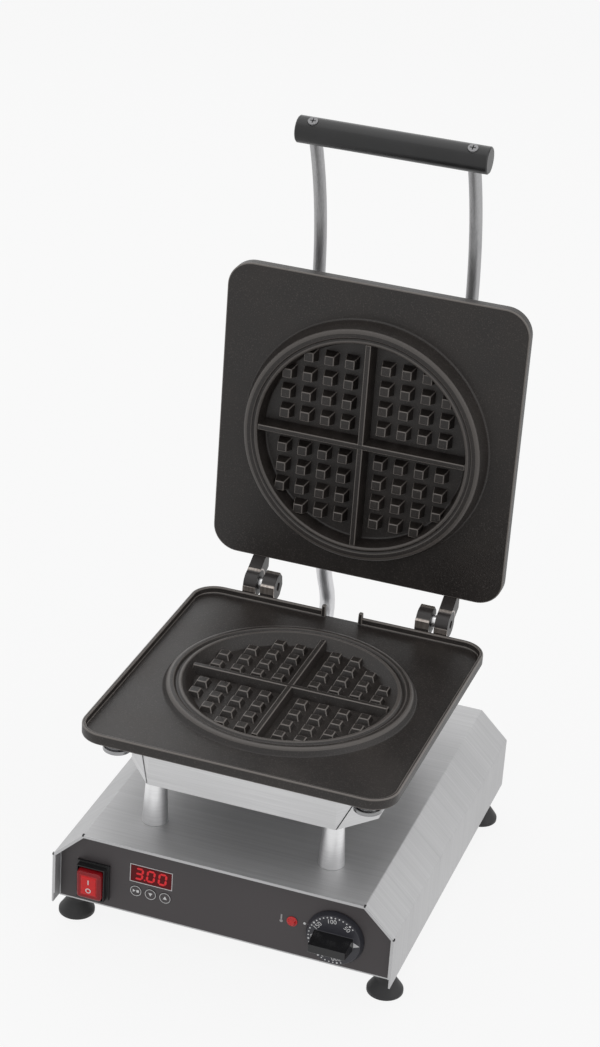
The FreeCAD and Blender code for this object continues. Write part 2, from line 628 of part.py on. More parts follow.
def heater(prefix, back, boss_drop, frame):
    """Ring of heating tube with two terminals, held by a clamp plate."""
    middle = f"({back} - {boss_drop} - heater_tube)"
    ring = doc.addObject("Part::Torus", "HeaterRing")
    bind(ring, Radius1="heater_radius", Radius2="heater_tube")
    at(ring, 0, MOULD, middle)
    ends = [cylinder("terminal_radius", "terminal_length", f"{sx}*terminal_spread",
                     f"{MOULD} + sqrt(heater_radius^2 - terminal_spread^2)", f"{middle} - terminal_length")
            for sx in SIDES]
    piece(f"{prefix}_heater", fuse(ring, *ends), frame)
    plate_z = f"({middle} - heater_tube - clamp_thick)"
    disc = cylinder("clamp_radius", "clamp_thick", 0, MOULD, plate_z)
    holes = [cylinder("terminal_radius + 1.5", "3*clamp_thick", f"{sx}*terminal_spread",
                      f"{MOULD} + sqrt(heater_radius^2 - terminal_spread^2)", f"{plate_z} - clamp_thick")
             for sx in SIDES]
    piece(f"{prefix}_heater_clamp", cut(disc, *holes), frame)


def plate_fixings(prefix, back, frame):
    """Studs set into the plate's corners, and the thumb nuts on them."""
    below = f"({back} - tab_thick)"

    def stud(x, y):
        return cylinder("stud_radius", "stud_seat + tab_thick + thumb_height", x, y,
                        f"{below} - thumb_height")

    def nut(x, y):
        barrel = cylinder("thumb_radius", "thumb_height", x, y, f"{below} - thumb_height")
        flange = cylinder("thumb_flange", "thumb_flange_thick", x, y,
                          f"{below} - thumb_height - thumb_flange_thick")
        bore = cylinder("stud_radius + stud_gap", "thumb_height", x, y, f"{below} - thumb_height")
        return cut(fuse(barrel, flange), bore)

    piece(f"{prefix}_plate_studs", group(four(stud, "thumb_x", "thumb_span", MOULD)), frame)
    piece(f"{prefix}_thumb_nuts", group(four(nut, "thumb_x", "thumb_span", MOULD)), frame)


def stud_seats(back):
    return four(lambda x, y: cylinder("stud_radius + stud_gap", "2*stud_seat", x, y, f"{back} - stud_seat"),
                "thumb_x", "thumb_span", MOULD)


def pyramid(body, name, half_x, half_z, tip_x, tip_z, height):
    """A block that tapers upwards, as an additive wedge of the body."""
    item = body.newObject("PartDesign::AdditiveWedge", name)
    item.Placement = Placement(Vector(), Rotation(Vector(1, 0, 0), 90))
    return bind(item, Xmin=f"-({half_x})", Xmax=half_x, Zmin=f"-({half_z})", Zmax=half_z,
                X2min=f"-({tip_x})", X2max=tip_x, Z2min=f"-({tip_z})", Z2max=tip_z,
                Ymin="0", Ymax=height)


def mould_core(name, prefix, floor_z):
    """Square slab with the crossed ribs and the grid of studs, before it is trimmed round."""
    core = Sketched(name)
    body = core.body
    half = f"({prefix}_bowl + stud_base)"
    core.pad("XY", [rectangle((f"-{half}", half), (f"-{half}", half))], "groove_width", reverse=True)
    rib = f"{prefix}_depth - rib_drop"
    pyramid(body, "RibAcross", half, "rib_base/2", half, "rib_tip/2", rib)
    pyramid(body, "RibAlong", "rib_base/2", half, "rib_tip/2", half, rib)
    stud = pyramid(body, "Stud", "stud_base/2", "stud_base/2", "stud_tip/2", "stud_tip/2", f"{prefix}_stud")
    at(stud, "stud_first", "stud_first")
    grid = body.newObject("PartDesign::MultiTransform", "StudGrid")
    grid.Originals = [stud]
    axes = {f.Role: f for f in body.Origin.OriginFeatures}
    steps = []
    for role in ("X_Axis", "Y_Axis"):
        row = body.newObject("PartDesign::LinearPattern", "StudRow")
        row.Direction = (axes[role], [""])
        row.Occurrences = STUDS_PER_ROW
        bind(row, Length=f"stud_pitch*{STUDS_PER_ROW - 1}")
        steps.append(row)
    for role in ("YZ_Plane", "XZ_Plane"):
        turn = body.newObject("PartDesign::Mirrored", "StudMirror")
        turn.MirrorPlane = (axes[role], [""])
        steps.append(turn)
    grid.Transformations = steps
    body.Tip = grid
    return at(body, 0, MOULD, floor_z)


def mould(prefix, ring_z, flat_z):
    """The raised ring, the bowl to cut from it and the trimmed core of ribs and studs."""
    floor_z = f"({ring_z} - {prefix}_depth)"
    ring = cone(f"{prefix}_ring_base", f"{prefix}_ring_top", f"{ring_z} - {flat_z}", 0, MOULD, flat_z)
    bowl = cone(f"{prefix}_floor", f"{prefix}_bowl", f"{prefix}_depth", 0, MOULD, floor_z)
    groove_out = cylinder(f"{prefix}_bowl + groove_inset + groove_width", "2*groove_depth", 0, MOULD,
                          f"{ring_z} - groove_depth")
    groove_in = cylinder(f"{prefix}_bowl + groove_inset", "2*groove_depth", 0, MOULD,
                         f"{ring_z} - groove_depth")
    groove = cut(groove_out, groove_in)
    trim = cone(f"{prefix}_floor + 1", f"{prefix}_bowl + 1", f"{prefix}_depth", 0, MOULD, floor_z)
    skirt = cylinder(f"{prefix}_floor - 1", "groove_width", 0, MOULD, f"{floor_z} - groove_width")
    core = common(mould_core(f"{prefix}Core", prefix, floor_z), fuse(trim, skirt))
    return ring, bowl, groove, core


def lugs(label, inner, outer, web, heel, bore, frame):
    """A pair of hinge lugs, each a barrel on the hinge line with a web that meets the plate."""
    pair = []
    for side in SIDES:
        start = inner if side > 0 else f"-{outer}"
        width = f"{outer} - {inner}"
        arm = Sketched(f"{label}_web")
        arm.pad("YZ", [web], width)
        parts = [at(arm.body, start), cylinder("lug_radius", width, start, 0, 0, "x")]
        if heel:
            parts.append(box((start, f"{start} + {width}"), *heel))
        pair.append(cut(fuse(*parts), cylinder(bore, width, start, 0, 0, "x")))
    piece(label, group(pair), frame)


def hinge_lugs():
    lower_web = [("0", "lug_radius"), ("-lug_crest_back", "lug_crest"), ("-lug_rear", "lug_crest/2"),
                 ("-lug_rear - 2", "-lug_radius/4"), ("-lug_radius/2", "-lug_radius"),
                 ("low_rear_gap", f"{LOW_BACK}"), ("low_rear_gap", "lug_radius/3")]
    lugs("lower_hinge_lugs", "low_lug_inner", "low_lug_outer", lower_web, None, "pin_radius + pin_fit",
         LOW_HINGE_FRAME)
    upper_web = [("0", "lug_radius*0.9"), ("lug_radius*0.7", "lug_radius*0.65"), ("lid_rear_gap", LID_FLAT),
                 ("lid_rear_gap", LID_BACK), ("lug_radius*0.6", f"{LID_BACK}"), ("0", "-lug_radius*0.9")]
    reach = "low_rear_gap - stop_gap"
    heel = (("-(axis_over_rim + rim_rise)", "0"),
            ("0", f"{reach} - (axis_over_rim + rim_rise)*tan(open_lean)"))
    lugs("upper_hinge_lugs", "lid_lug_inner", "lid_lug_outer", upper_web, heel, "pin_radius + pin_fit",
         LID_HINGE_FRAME)


def lower_plate():
    half = "plate_width/2"
    edge = ("low_rear_gap", LOW_FRONT_EDGE)
    blank = rounded_block("TrayBlank", (f"-{half}", half), edge, (LOW_BACK, LOW_RIM), "plate_corner")
    well = rounded_block("TrayWell", (f"-({half} - rim_width)", f"{half} - rim_width"),
                         (f"{edge[0]} + rim_width", f"{edge[1]} - rim_width"),
                         (LOW_FLAT, f"{LOW_RIM} + rim_rise"), "plate_corner - rim_width")
    ring, bowl, groove, core = mould("low", LOW_RIM, LOW_FLAT)
    boss = cylinder("low_boss", "low_boss_drop", 0, MOULD, f"{LOW_BACK} - low_boss_drop")
    spout = box(centred("0", "spout_width"), ("low_rear_gap - rim_width", "low_rear_gap + 2*rim_width"),
                (LOW_FLAT, f"{LOW_RIM} + rim_rise"))
    ears = [box(centred(f"{sx}*(spout_width + ear_width)/2", "ear_width"),
                ("low_rear_gap", "low_rear_gap + rim_width"), (LOW_FLAT, f"{LOW_RIM} + ear_rise"))
            for sx in SIDES]
    body = fuse(cut(blank, well, spout), ring, boss, *ears)
    piece("lower_plate", fuse(cut(body, bowl, groove, *stud_seats(LOW_BACK)), core), LOW_HINGE_FRAME)


def upper_plate():
    half = "plate_width/2"
    blank = rounded_block("LidBlank", (f"-{half}", half), ("lid_rear_gap", LID_FRONT_EDGE),
                          (LID_BACK, LID_FLAT), "plate_corner")
    ring, bowl, groove, core = mould("lid", LID_RING, LID_FLAT)
    boss = cylinder("lid_boss", "lid_boss_drop", 0, MOULD, f"{LID_BACK} - lid_boss_drop")
    body = fuse(blank, ring, boss)
    piece("upper_plate", fuse(cut(body, bowl, groove, *stud_seats(LID_BACK)), core), LID_HINGE_FRAME)


def hinge_hardware():
    length = "lid_lug_outer - low_lug_inner - 2*pin_recess"
    pins = [cylinder("pin_radius", length, x, 0, 0, "x")
            for x in ("low_lug_inner + pin_recess", "-(lid_lug_outer - pin_recess)")]
    piece("hinge_pins", group(pins), LID_HINGE_FRAME)
    width = "lid_lug_inner - low_lug_outer - 2*spacer_gap"
    spacers = [cut(cylinder("spacer_radius", width, x, 0, 0, "x"),
                   cylinder("pin_radius + pin_fit", width, x, 0, 0, "x"))
               for x in ("low_lug_outer + spacer_gap", "-(lid_lug_inner - spacer_gap)")]
    piece("hinge_spacers", group(spacers), LID_HINGE_FRAME)


def lower_half():
    bolts = lambda low: four(lambda x, y: cylinder("bolt_radius + bolt_gap", "4*casing_thick", x, y,
                                                   f"{low} - casing_thick"),
                             "pillar_x", "pillar_span", MOULD)
    wells = lambda low: four(lambda x, y: cylinder("nut_radius + 2", "2*nut_height", x, y, low),
                             "pillar_x", "pillar_span", MOULD)
    casing("lower", LOW_BACK, "casing_height", bolts, LOW_HINGE_FRAME)
    wool("lower_insulation", LOW_BACK, "casing_height", "low_boss_drop", wells, LOW_HINGE_FRAME)
    heater("lower", LOW_BACK, "low_boss_drop", LOW_HINGE_FRAME)
    plate_fixings("lower", LOW_BACK, LOW_HINGE_FRAME)
    lower_plate()


def upper_half():
    def wall_holes(low):
        rods = [cylinder("rod_radius + bolt_gap", "6*casing_thick", f"{sx}*rod_x",
                         f"{ROD_START} - 3*casing_thick", "-rod_back", "y") for sx in SIDES]
        conduit = cylinder("conduit_neck + bolt_gap", "6*casing_thick", "conduit_lid_x",
                           f"{MOULD} - casing_half_depth - 3*casing_thick", "-conduit_lid_back", "y")
        return rods + [conduit]

    def rod_wells(low):
        wells = [cylinder("rod_nut_radius + 2", "2*rod_tail", f"{sx}*rod_x",
                          f"{ROD_START} - 2*rod_tail + casing_thick", "-rod_back", "y") for sx in SIDES]
        tail = cylinder("conduit_flange + 2", "3*conduit_tail", "conduit_lid_x",
                        f"{MOULD} - casing_half_depth", "-conduit_lid_back", "y")
        return wells + [tail]

    casing("upper", LID_BACK, "lid_casing_height", wall_holes, LID_HINGE_FRAME)
    wool("upper_insulation", LID_BACK, "lid_casing_height", "lid_boss_drop", rod_wells, LID_HINGE_FRAME)
    heater("upper", LID_BACK, "lid_boss_drop", LID_HINGE_FRAME)
    plate_fixings("upper", LID_BACK, LID_HINGE_FRAME)
    upper_plate()


def rod_arc(radius, side):
    """The bent length of a handle rod, from the casing's front wall to the grip."""
    arc = doc.addObject("Part::Torus", "RodArc")
    arc.Placement = Placement(Vector(), Rotation(Vector(0, 1, 0), 90))
    bind(arc, Radius1="rod_bend", Radius2=radius, Angle3="rod_turn")
    return at(arc, f"{side}*rod_x", ROD_START, "-rod_back + rod_bend")


def tilted_cylinder(radius, height, side, start):
    """A cylinder along the rod's end, from a distance past the grip's middle."""
    item = doc.addObject("Part::Cylinder", "Tilted")
    bind(item, Radius=radius, Height=height)
    text = ("create(<<placement>>;create(<<vector>>;{x};{y};{z});"
            "create(<<rotation>>;create(<<vector>>;1;0;0);rod_turn - 90))")
    place = text.format(x=f"{side}*rod_x", y=f"{GRIP_Y} + ({start})*cos(rod_turn)",
                        z=f"{GRIP_Z} + ({start})*sin(rod_turn)")
    item.setExpression("Placement", sheet_words(place))
    return item


def handle():
    rods, nuts, screws, bores = [], [], [], []
    nut_y = f"({ROD_START} - casing_thick - rod_nut_height)"
    seat = "grip_radius - grip_head_sink"
    for side in SIDES:
        x = f"{side}*rod_x"
        tail = cylinder("rod_radius", "rod_tail", x, f"{ROD_START} - rod_tail", "-rod_back", "y")
        thread = tilted_cylinder("grip_screw_radius + pin_fit", "grip_screw_depth", side, "-grip_screw_depth")
        rods.append(cut(fuse(rod_arc("rod_radius", side), tail), thread))
        nuts.append(cut(hexagon("rod_nut_radius", "rod_nut_height", x, nut_y, "-rod_back", "y"),
                        cylinder("rod_radius + pin_fit", "rod_nut_height", x, nut_y, "-rod_back", "y")))
        shank = tilted_cylinder("grip_screw_radius", f"grip_screw_depth + {seat}", side, "-grip_screw_depth")
        head = tilted_cylinder("grip_head_radius", "grip_head_height", side, seat)
        screws.append(fuse(shank, head))
        bores.append(rod_arc("rod_radius + pin_fit", side))
        bores.append(tilted_cylinder("grip_screw_radius + bolt_gap", "2*grip_radius", side, "0"))
        bores.append(tilted_cylinder("grip_head_radius + bolt_gap", "grip_radius", side, seat))
    piece("handle_rods", group(rods), LID_HINGE_FRAME)
    piece("rod_nuts", group(nuts), LID_HINGE_FRAME)
    bar = cylinder("grip_radius", "grip_length - 2*grip_chamfer", "-grip_length/2 + grip_chamfer",
                   GRIP_Y, GRIP_Z, "x")
    ends = [cone("grip_radius", "grip_radius - grip_chamfer", "grip_chamfer",
                 "grip_length/2 - grip_chamfer", GRIP_Y, GRIP_Z, "x"),
            cone("grip_radius - grip_chamfer", "grip_radius", "grip_chamfer",
                 "-grip_length/2", GRIP_Y, GRIP_Z, "x")]
    piece("handle_grip", cut(fuse(bar, *ends), *bores), LID_HINGE_FRAME)
    piece("grip_screws", group(screws), LID_HINGE_FRAME)


def conduit_glands():
    y = "(front_y + conduit_base_y)"
    tail_z = f"({TOP_Z} - sheet_thick - conduit_tail)"
    neck = cylinder("conduit_neck", f"{TOP_Z} - {tail_z}", "conduit_base_x", y, tail_z)
    flange = hexagon("conduit_flange", "conduit_flange_thick", "conduit_base_x", y, TOP_Z)
    collar = cylinder("collar_radius", "conduit_collar", "conduit_base_x", y,
                      f"{TOP_Z} + conduit_flange_thick")
    bore = cylinder("conduit_radius + conduit_fit", "4*conduit_collar + 2*conduit_tail", "conduit_base_x", y,
                    f"{tail_z} - conduit_tail")
    piece("conduit_base_gland", cut(fuse(neck, flange, collar), bore))
    wall = f"({MOULD} - casing_half_depth)"
    inside = "casing_thick + conduit_tail"
    neck = cylinder("conduit_neck", inside, "conduit_lid_x", wall, "-conduit_lid_back", "y")
    flange = hexagon("conduit_flange", "conduit_flange_thick", "conduit_lid_x",
                     f"{wall} - conduit_flange_thick", "-conduit_lid_back", "y")
    collar = cylinder("collar_radius", "conduit_collar", "conduit_lid_x",
                      f"{wall} - conduit_flange_thick - conduit_collar", "-conduit_lid_back", "y")
    bore = cylinder("conduit_radius + conduit_fit", "8*conduit_collar", "conduit_lid_x",
                    f"{wall} - 4*conduit_collar", "-conduit_lid_back", "y")
    piece("conduit_lid_gland", cut(fuse(neck, flange, collar), bore), LID_HINGE_FRAME)


def rounded_path(points):
    """Straight runs joined by tangent arcs, each as large as its two runs allow."""
    edges, radii = [], []
    start = points[0]
    for before, corner, after in zip(points, points[1:], points[2:]):
        into = (corner - before).normalize()
        out = (after - corner).normalize()
        half_turn = into.getAngle(out) / 2
        reach = 0.45 * min((corner - before).Length, (after - corner).Length)
        radius = reach / math.tan(half_turn)
        first = corner - into * reach
        last = corner + out * reach
        inward = (out - into).normalize()
        middle = corner + inward * (radius / math.cos(half_turn) - radius)
        edges.append(Part.LineSegment(start, first).toShape())
        edges.append(Part.Arc(first, middle, last).toShape())
        radii.append(round(radius, 1))
        start = last
    edges.append(Part.LineSegment(start, points[-1]).toShape())
    return Part.Wire(edges), radii


def power_conduit():
    """Flexible tube that carries the leads from the base to the lid, with slack behind the hinge."""
    lean = math.radians(value("open_lean"))
    hinge = Vector(0, value(HINGE_Y), value(HINGE_Z))
    along = Vector(0, math.sin(lean), math.cos(lean))
    front = Vector(0, -math.cos(lean), math.sin(lean))
    foot = Vector(value("conduit_base_x"), value("front_y + conduit_base_y"), value(TOP_Z))
    lid_line = hinge + Vector(value("conduit_lid_x"), 0, 0) - front * value("conduit_lid_back")
    entry = value(f"{MOULD} - casing_half_depth")
    # Straight up from the hood, back past the hinge line for slack, and then in line with the lid
    rise = foot + Vector(0, 0, value("conduit_rise"))
    turn = lid_line + along * (entry - value("conduit_flange_thick + conduit_collar + conduit_lead"))
    slack = Vector((foot.x + lid_line.x)/2, lid_line.y + value("slack_back"),
                   rise.z + (turn.z - rise.z) * value("slack_share"))
    points = [foot - Vector(0, 0, value("sheet_thick + conduit_tail")), rise, slack, turn,
              lid_line + along * (entry + value("casing_thick + conduit_tail"))]
    path, radii = rounded_path(points)
    radius = value("conduit_radius")
    ring = Part.Wire([Part.Circle(points[0], Vector(0, 0, 1), radius).toShape()])
    tube = path.makePipeShell([ring], True, False)
    item = doc.addObject("Part::Feature", "PowerConduit")
    item.Shape = tube
    expected = math.pi * radius ** 2 * path.Length
    print("conduit radii", radii, "length", round(path.Length, 1),
          "volume", round(tube.Volume), "section times length", round(expected))
    piece("power_conduit", item)


def main():
    base_housing()
    front_panel()
    rear_panel()
    bottom_plate()
    foot_and_screw()
    rocker_switch()
    display_and_keys()
    pilot_lamp()
    thermostat()
    rear_fittings()
    pillars()
    lower_half()
    upper_half()
    hinge_lugs()
    hinge_hardware()
    handle()
    conduit_glands()
    power_conduit()
    doc.recompute()
    failed = [o.Name for o in doc.Objects if {"Invalid", "Error"} & set(o.State)]
    bad = [o.Label for o in NODES if o.Shape.isNull() or not o.Shape.isValid()]
    if failed or bad:
        raise SystemExit(f"failed objects {failed}, bad shapes {bad}")
    os.makedirs("parts", exist_ok=True)
    for node in NODES:
        node.Shape.exportStep(f"parts/{node.Label}.step")
    print(len(NODES), "pieces written")


main()
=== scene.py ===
"""Looks of the waffle maker: finishes, softened edges, printed signs, studio and camera.

All lengths in the tables are millimetres in the part's own frame; a piece's mesh is in metres.
"""
import math

import bmesh
import bpy
from mathutils import Matrix, Vector


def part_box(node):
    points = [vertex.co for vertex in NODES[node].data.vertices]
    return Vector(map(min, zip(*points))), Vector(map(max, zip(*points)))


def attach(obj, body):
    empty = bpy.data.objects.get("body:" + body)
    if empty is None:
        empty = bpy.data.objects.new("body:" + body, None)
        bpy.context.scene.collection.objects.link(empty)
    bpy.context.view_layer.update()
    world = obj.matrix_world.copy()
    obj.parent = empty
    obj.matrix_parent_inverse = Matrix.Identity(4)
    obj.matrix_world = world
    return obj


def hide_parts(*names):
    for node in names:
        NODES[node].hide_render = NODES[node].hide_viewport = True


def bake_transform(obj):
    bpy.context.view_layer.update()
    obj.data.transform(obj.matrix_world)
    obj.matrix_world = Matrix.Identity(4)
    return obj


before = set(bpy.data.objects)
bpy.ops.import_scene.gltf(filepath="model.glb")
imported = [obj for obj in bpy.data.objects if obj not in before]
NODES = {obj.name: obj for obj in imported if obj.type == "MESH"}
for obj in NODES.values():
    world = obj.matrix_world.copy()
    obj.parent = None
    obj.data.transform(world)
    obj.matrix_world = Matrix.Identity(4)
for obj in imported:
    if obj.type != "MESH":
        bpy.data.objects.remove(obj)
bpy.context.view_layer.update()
MM = 0.001

# Places that several pieces share
FOIL_FRONT = -186.91                     # y of the control panel's foil
LEAN = math.radians(1)                   # of the open lid, backwards
HINGE = Vector((0, 123.59, 212))
LID_ALONG = Vector((0, math.sin(LEAN), math.cos(LEAN)))
LID_OUT = Vector((0, -math.cos(LEAN), math.sin(LEAN)))
BARREL_START, BARREL_FULL, BARREL_END = 12.0, 12.9, 13.9   # radii of the hinge barrels' rubbed skin
ROCKER_X, ROCKER_Z = -124.6, 51.8        # middle of the lit field of the switch
DIAL_BAR_Y = -192.8                      # the finger bar stands in front of this, the disc behind it


# Shader wiring

class Wire:
    """An output socket of a node tree. Arithmetic on it adds Math nodes."""

    def __init__(self, tree, socket=None):
        self.tree, self.socket = tree, socket

    def node(self, kind, settings=None, inputs=None, out=0):
        """Adds a node of a kind: its settings first, then the values or links of its sockets."""
        made = self.tree.nodes.new("ShaderNode" + kind)
        for key, setting in (settings or {}).items():
            setattr(made, key, setting)
        for key, given in (inputs or {}).items():
            if isinstance(given, Wire):
                self.tree.links.new(given.socket, made.inputs[key])
            else:
                made.inputs[key].default_value = given
        return Wire(self.tree, made.outputs[out])

    def math(self, operation, *others):
        """A Math node on this value and others."""
        return self.node("Math", {"operation": operation}, dict(enumerate((self,) + others)))

    def __add__(self, other):
        return self.math("ADD", other)

    def __sub__(self, other):
        return self.math("SUBTRACT", other)

    def __rsub__(self, other):
        return self.node("Math", {"operation": "SUBTRACT"}, {0: other, 1: self})

    def __mul__(self, other):
        return self.math("MULTIPLY", other)

    def __lt__(self, other):
        return self.math("LESS_THAN", other)

    __radd__, __rmul__ = __add__, __mul__

    def clamp(self):
        """Held between 0 and 1."""
        return self.node("Clamp", inputs={0: self})

    def axis(self, letter):
        """One coordinate of a place."""
        return self.node("SeparateXYZ", inputs={0: self}, out=letter)

    def noise(self, scale, detail=2.0, stretch=(1, 1, 1)):
        """Noise of about one grain per 1/scale metres, drawn out along an axis by a small stretch."""
        place = self.node("Mapping", inputs={"Vector": self, "Scale": stretch})
        return place.node("TexNoise", inputs={"Vector": place, "Scale": scale, "Detail": detail})

    def band(self, low, high):
        """0 below low, 1 above high, a straight rise between."""
        return self.node("MapRange", {"clamp": True}, {0: self, 1: low, 2: high})

    def mix(self, first, second):
        """Between two colours by this value."""
        rgba = [c if isinstance(c, Wire) else (*c, 1.0) for c in (first, second)]
        return self.node("Mix", {"data_type": "RGBA"}, {0: self, 6: rgba[0], 7: rgba[1]}, 2)

    def bump(self, strength, distance):
        """Normal from this height."""
        return self.node("Bump", inputs={"Height": self, "Strength": strength, "Distance": distance})


def finish(name, looks, **fixed):
    """A material: fixed numbers go on the shader's own sockets, and looks() gives what varies."""
    made = bpy.data.materials.new(name)
    made.use_nodes = True
    shader = made.node_tree.nodes["Principled BSDF"]
    for socket, number in fixed.items():
        shader.inputs[socket.replace("_", " ")].default_value = number
    place = Wire(made.node_tree).node("TexCoord", out="Object")
    for socket, wire in looks(place).items():
        made.node_tree.links.new(wire.socket, shader.inputs[socket])
    return made


# Finishes

def brushed_sheet(stretch, dark, light, rough):
    """Ground sheet steel: fine lines drawn out along the grain, and slow cloudiness."""
    def looks(place):
        lines = place.noise(1500, 3.0, stretch)
        long_lines = place.noise(420, 2.0, stretch)
        cloud = place.noise(9, 3.0)
        tone = (lines * 0.45 + long_lines * 0.35 + cloud * 0.4).band(0.3, 0.9)
        return {"Base Color": tone.mix(dark, light),
                "Roughness": lines * 0.16 + cloud * 0.08 + rough,
                "Normal": (lines + long_lines * 0.6).bump(0.14, 0.0002)}
    return looks


def cast_coat(place):
    """Dark baked coating on cast aluminium: sandy grain with paler specks and faint browning."""
    grain = place.noise(1300, 3.0)
    speck = place.noise(900, 2.0).band(0.56, 0.72)
    stain = place.noise(22, 4.0).band(0.35, 0.75)
    ground = stain.mix((0.0135, 0.0109, 0.0097), (0.0205, 0.0164, 0.0141))
    # Thin edge faces and ring crests are painted lighter: partly coat rubbed to bare metal, partly painted
    # highlight.
    wear_and_highlight = place.node("Attribute", {"attribute_name": "edge"}, out="Fac") * 0.7
    coat = (speck * 0.45).mix(ground, (0.085, 0.073, 0.066))
    return {"Base Color": wear_and_highlight.mix(coat, (0.20, 0.18, 0.165)),
            "Roughness": grain * 0.16 + stain * 0.06 + 0.32 - wear_and_highlight * 0.10,
            "Normal": (grain + speck * 0.7).bump(0.35, 0.0003)}


def rubbed_barrel(place):
    """Coat of the hinge lugs, rubbed to brownish bare metal on the barrels round the hinge line."""
    grain, streak = place.noise(1300, 3.0), place.noise(500, 3.0, (1, 0.1, 0.1))
    back, rise = place.axis("Y") - HINGE.y * MM, place.axis("Z") - HINGE.z * MM
    radius = (back * back + rise * rise).math("SQRT")
    bare = radius.band(BARREL_START * MM, BARREL_FULL * MM) * (radius < BARREL_END * MM)
    coat = grain.mix((0.0180, 0.0150, 0.0140), (0.0330, 0.0290, 0.0285))
    metal = streak.band(0.3, 0.7).mix((0.30, 0.265, 0.24), (0.50, 0.455, 0.42))
    return {"Base Color": bare.mix(coat, metal), "Metallic": bare * 0.9,
            "Roughness": grain * 0.12 + 0.36 - bare * 0.10, "Normal": grain.bump(0.25, 0.0003)}


def panel_foil(place):
    """Matt dark foil with a fine tooth and a slow change of tone."""
    tooth, cloud = place.noise(4200, 1.0), place.noise(7, 2.0)
    return {"Base Color": cloud.mix((0.045, 0.039, 0.041), (0.058, 0.050, 0.052)),
            "Roughness": tooth * 0.14 + 0.38,
            "Normal": tooth.bump(0.10, 0.00008)}


def moulded(dark, light, rough, tooth_scale=2600, depth=0.15):
    """Moulded plastic or rubber: spark-eroded tooth and faint handling marks."""
    def looks(place):
        tooth, rub = place.noise(tooth_scale, 2.0), place.noise(60, 3.0)
        return {"Base Color": rub.band(0.3, 0.75).mix(dark, light),
                "Roughness": tooth * 0.14 + rub * 0.12 + rough - 0.1,
                "Normal": tooth.bump(depth, 0.00012)}
    return looks


def turned_steel(dark, light, rough, stretch):
    """Turned or drawn bright steel: thin rings or draw lines and light smears."""
    def looks(place):
        ring, smear = place.noise(900, 2.0, stretch), place.noise(45, 3.0)
        return {"Base Color": (ring * 0.6 + smear * 0.5).band(0.3, 0.85).mix(dark, light),
                "Roughness": ring * 0.06 + smear * 0.08 + rough,
                "Normal": ring.bump(0.015, 0.0001)}
    return looks


def plated(place):
    """Zinc plated fasteners: small spangle and dull patches."""
    spangle, dull = place.noise(900, 2.0), place.noise(160, 3.0)
    return {"Base Color": dull.mix((0.40, 0.41, 0.43), (0.66, 0.66, 0.67)),
            "Roughness": spangle * 0.18 + dull * 0.2 + 0.16,
            "Normal": spangle.bump(0.08, 0.0001)}


def rocker_red(place):
    """Clear red cap over a lit rocker, its light painted into the colour: bright in the middle, deep at the
    border.
    """
    side = (place.axis("X") - ROCKER_X * MM).math("ABSOLUTE")
    up = (place.axis("Z") - ROCKER_Z * MM).math("ABSOLUTE")
    edge = side.band(6.6 * MM, 8.6 * MM).math("MAXIMUM", up.band(9.4 * MM, 11.6 * MM))
    swirl = place.noise(320, 3.0)
    deep = swirl.mix((0.22, 0.006, 0.010), (0.31, 0.010, 0.014))
    # Painted glow: the light of the lamp inside the rocker is the lighter red of the middle field.
    lit = swirl.mix((0.62, 0.010, 0.014), (0.78, 0.022, 0.022))
    return {"Base Color": edge.mix(lit, deep),
            "Roughness": swirl * 0.10 + 0.12,
            "Normal": (1 - edge).bump(0.35, 0.0004)}


def dial_black(place):
    """Dial: satin blue-black disc, glossier finger bar."""
    bar = place.axis("Y") < DIAL_BAR_Y * MM
    tooth = place.noise(2600, 2.0)
    return {"Base Color": bar.mix((0.030, 0.030, 0.038), (0.010, 0.010, 0.011)),
            "Roughness": tooth * 0.08 + 0.36 - bar * 0.20,
            "Normal": tooth.bump(0.08, 0.0001)}


def smoked_red(place):
    """Red filter over the display: even deep red with faint haze."""
    haze = place.noise(90, 3.0)
    return {"Base Color": haze.mix((0.105, 0.003, 0.005), (0.150, 0.006, 0.008)),
            "Roughness": haze * 0.08 + 0.10}


def lamp_red(place):
    """Pilot lamp lens: uneven lighter and deeper red with a faint bump."""
    haze = place.noise(700, 2.0)
    return {"Base Color": haze.mix((0.46, 0.010, 0.014), (0.74, 0.030, 0.028)),
            "Roughness": haze * 0.14 + 0.12, "Normal": haze.bump(0.12, 0.0002)}


def lit_segment(place):
    """Glowing bars of the display, a little uneven."""
    glow = place.noise(600, 1.0)
    shade = glow.mix((0.46, 0.005, 0.010), (0.58, 0.012, 0.016))
    return {"Base Color": shade, "Emission Color": shade}


def ink(dark, light):
    """Screen print: thin even ink with a slight mottle."""
    def looks(place):
        mottle = place.noise(1800, 2.0)
        return {"Base Color": mottle.mix(dark, light), "Roughness": mottle * 0.15 + 0.42}
    return looks


def felted_wool(place):
    """Pressed mineral wool: matted fibres in paler and darker tan."""
    fibre = place.noise(700, 5.0, (1, 1, 5))
    return {"Base Color": fibre.band(0.3, 0.7).mix((0.36, 0.31, 0.21), (0.66, 0.60, 0.45)),
            "Roughness": fibre * 0.1 + 0.85, "Normal": fibre.bump(0.8, 0.001)}


def circuit_board(place):
    """Green lacquer over raised tracks."""
    track = place.noise(220, 1.0, (1, 1, 6)).band(0.52, 0.55)
    return {"Base Color": track.mix((0.012, 0.085, 0.030), (0.030, 0.150, 0.055)),
            "Roughness": 0.42 - track * 0.12, "Normal": track.bump(0.3, 0.0001)}


def blued_tube(place):
    """Heater tube with scale and patches coloured by heat."""
    heat, scale = place.noise(35, 3.0), place.noise(900, 2.0)
    return {"Base Color": heat.band(0.3, 0.7).mix((0.19, 0.17, 0.15), (0.40, 0.37, 0.36)),
            "Roughness": scale * 0.2 + 0.34, "Normal": scale.bump(0.15, 0.0002)}


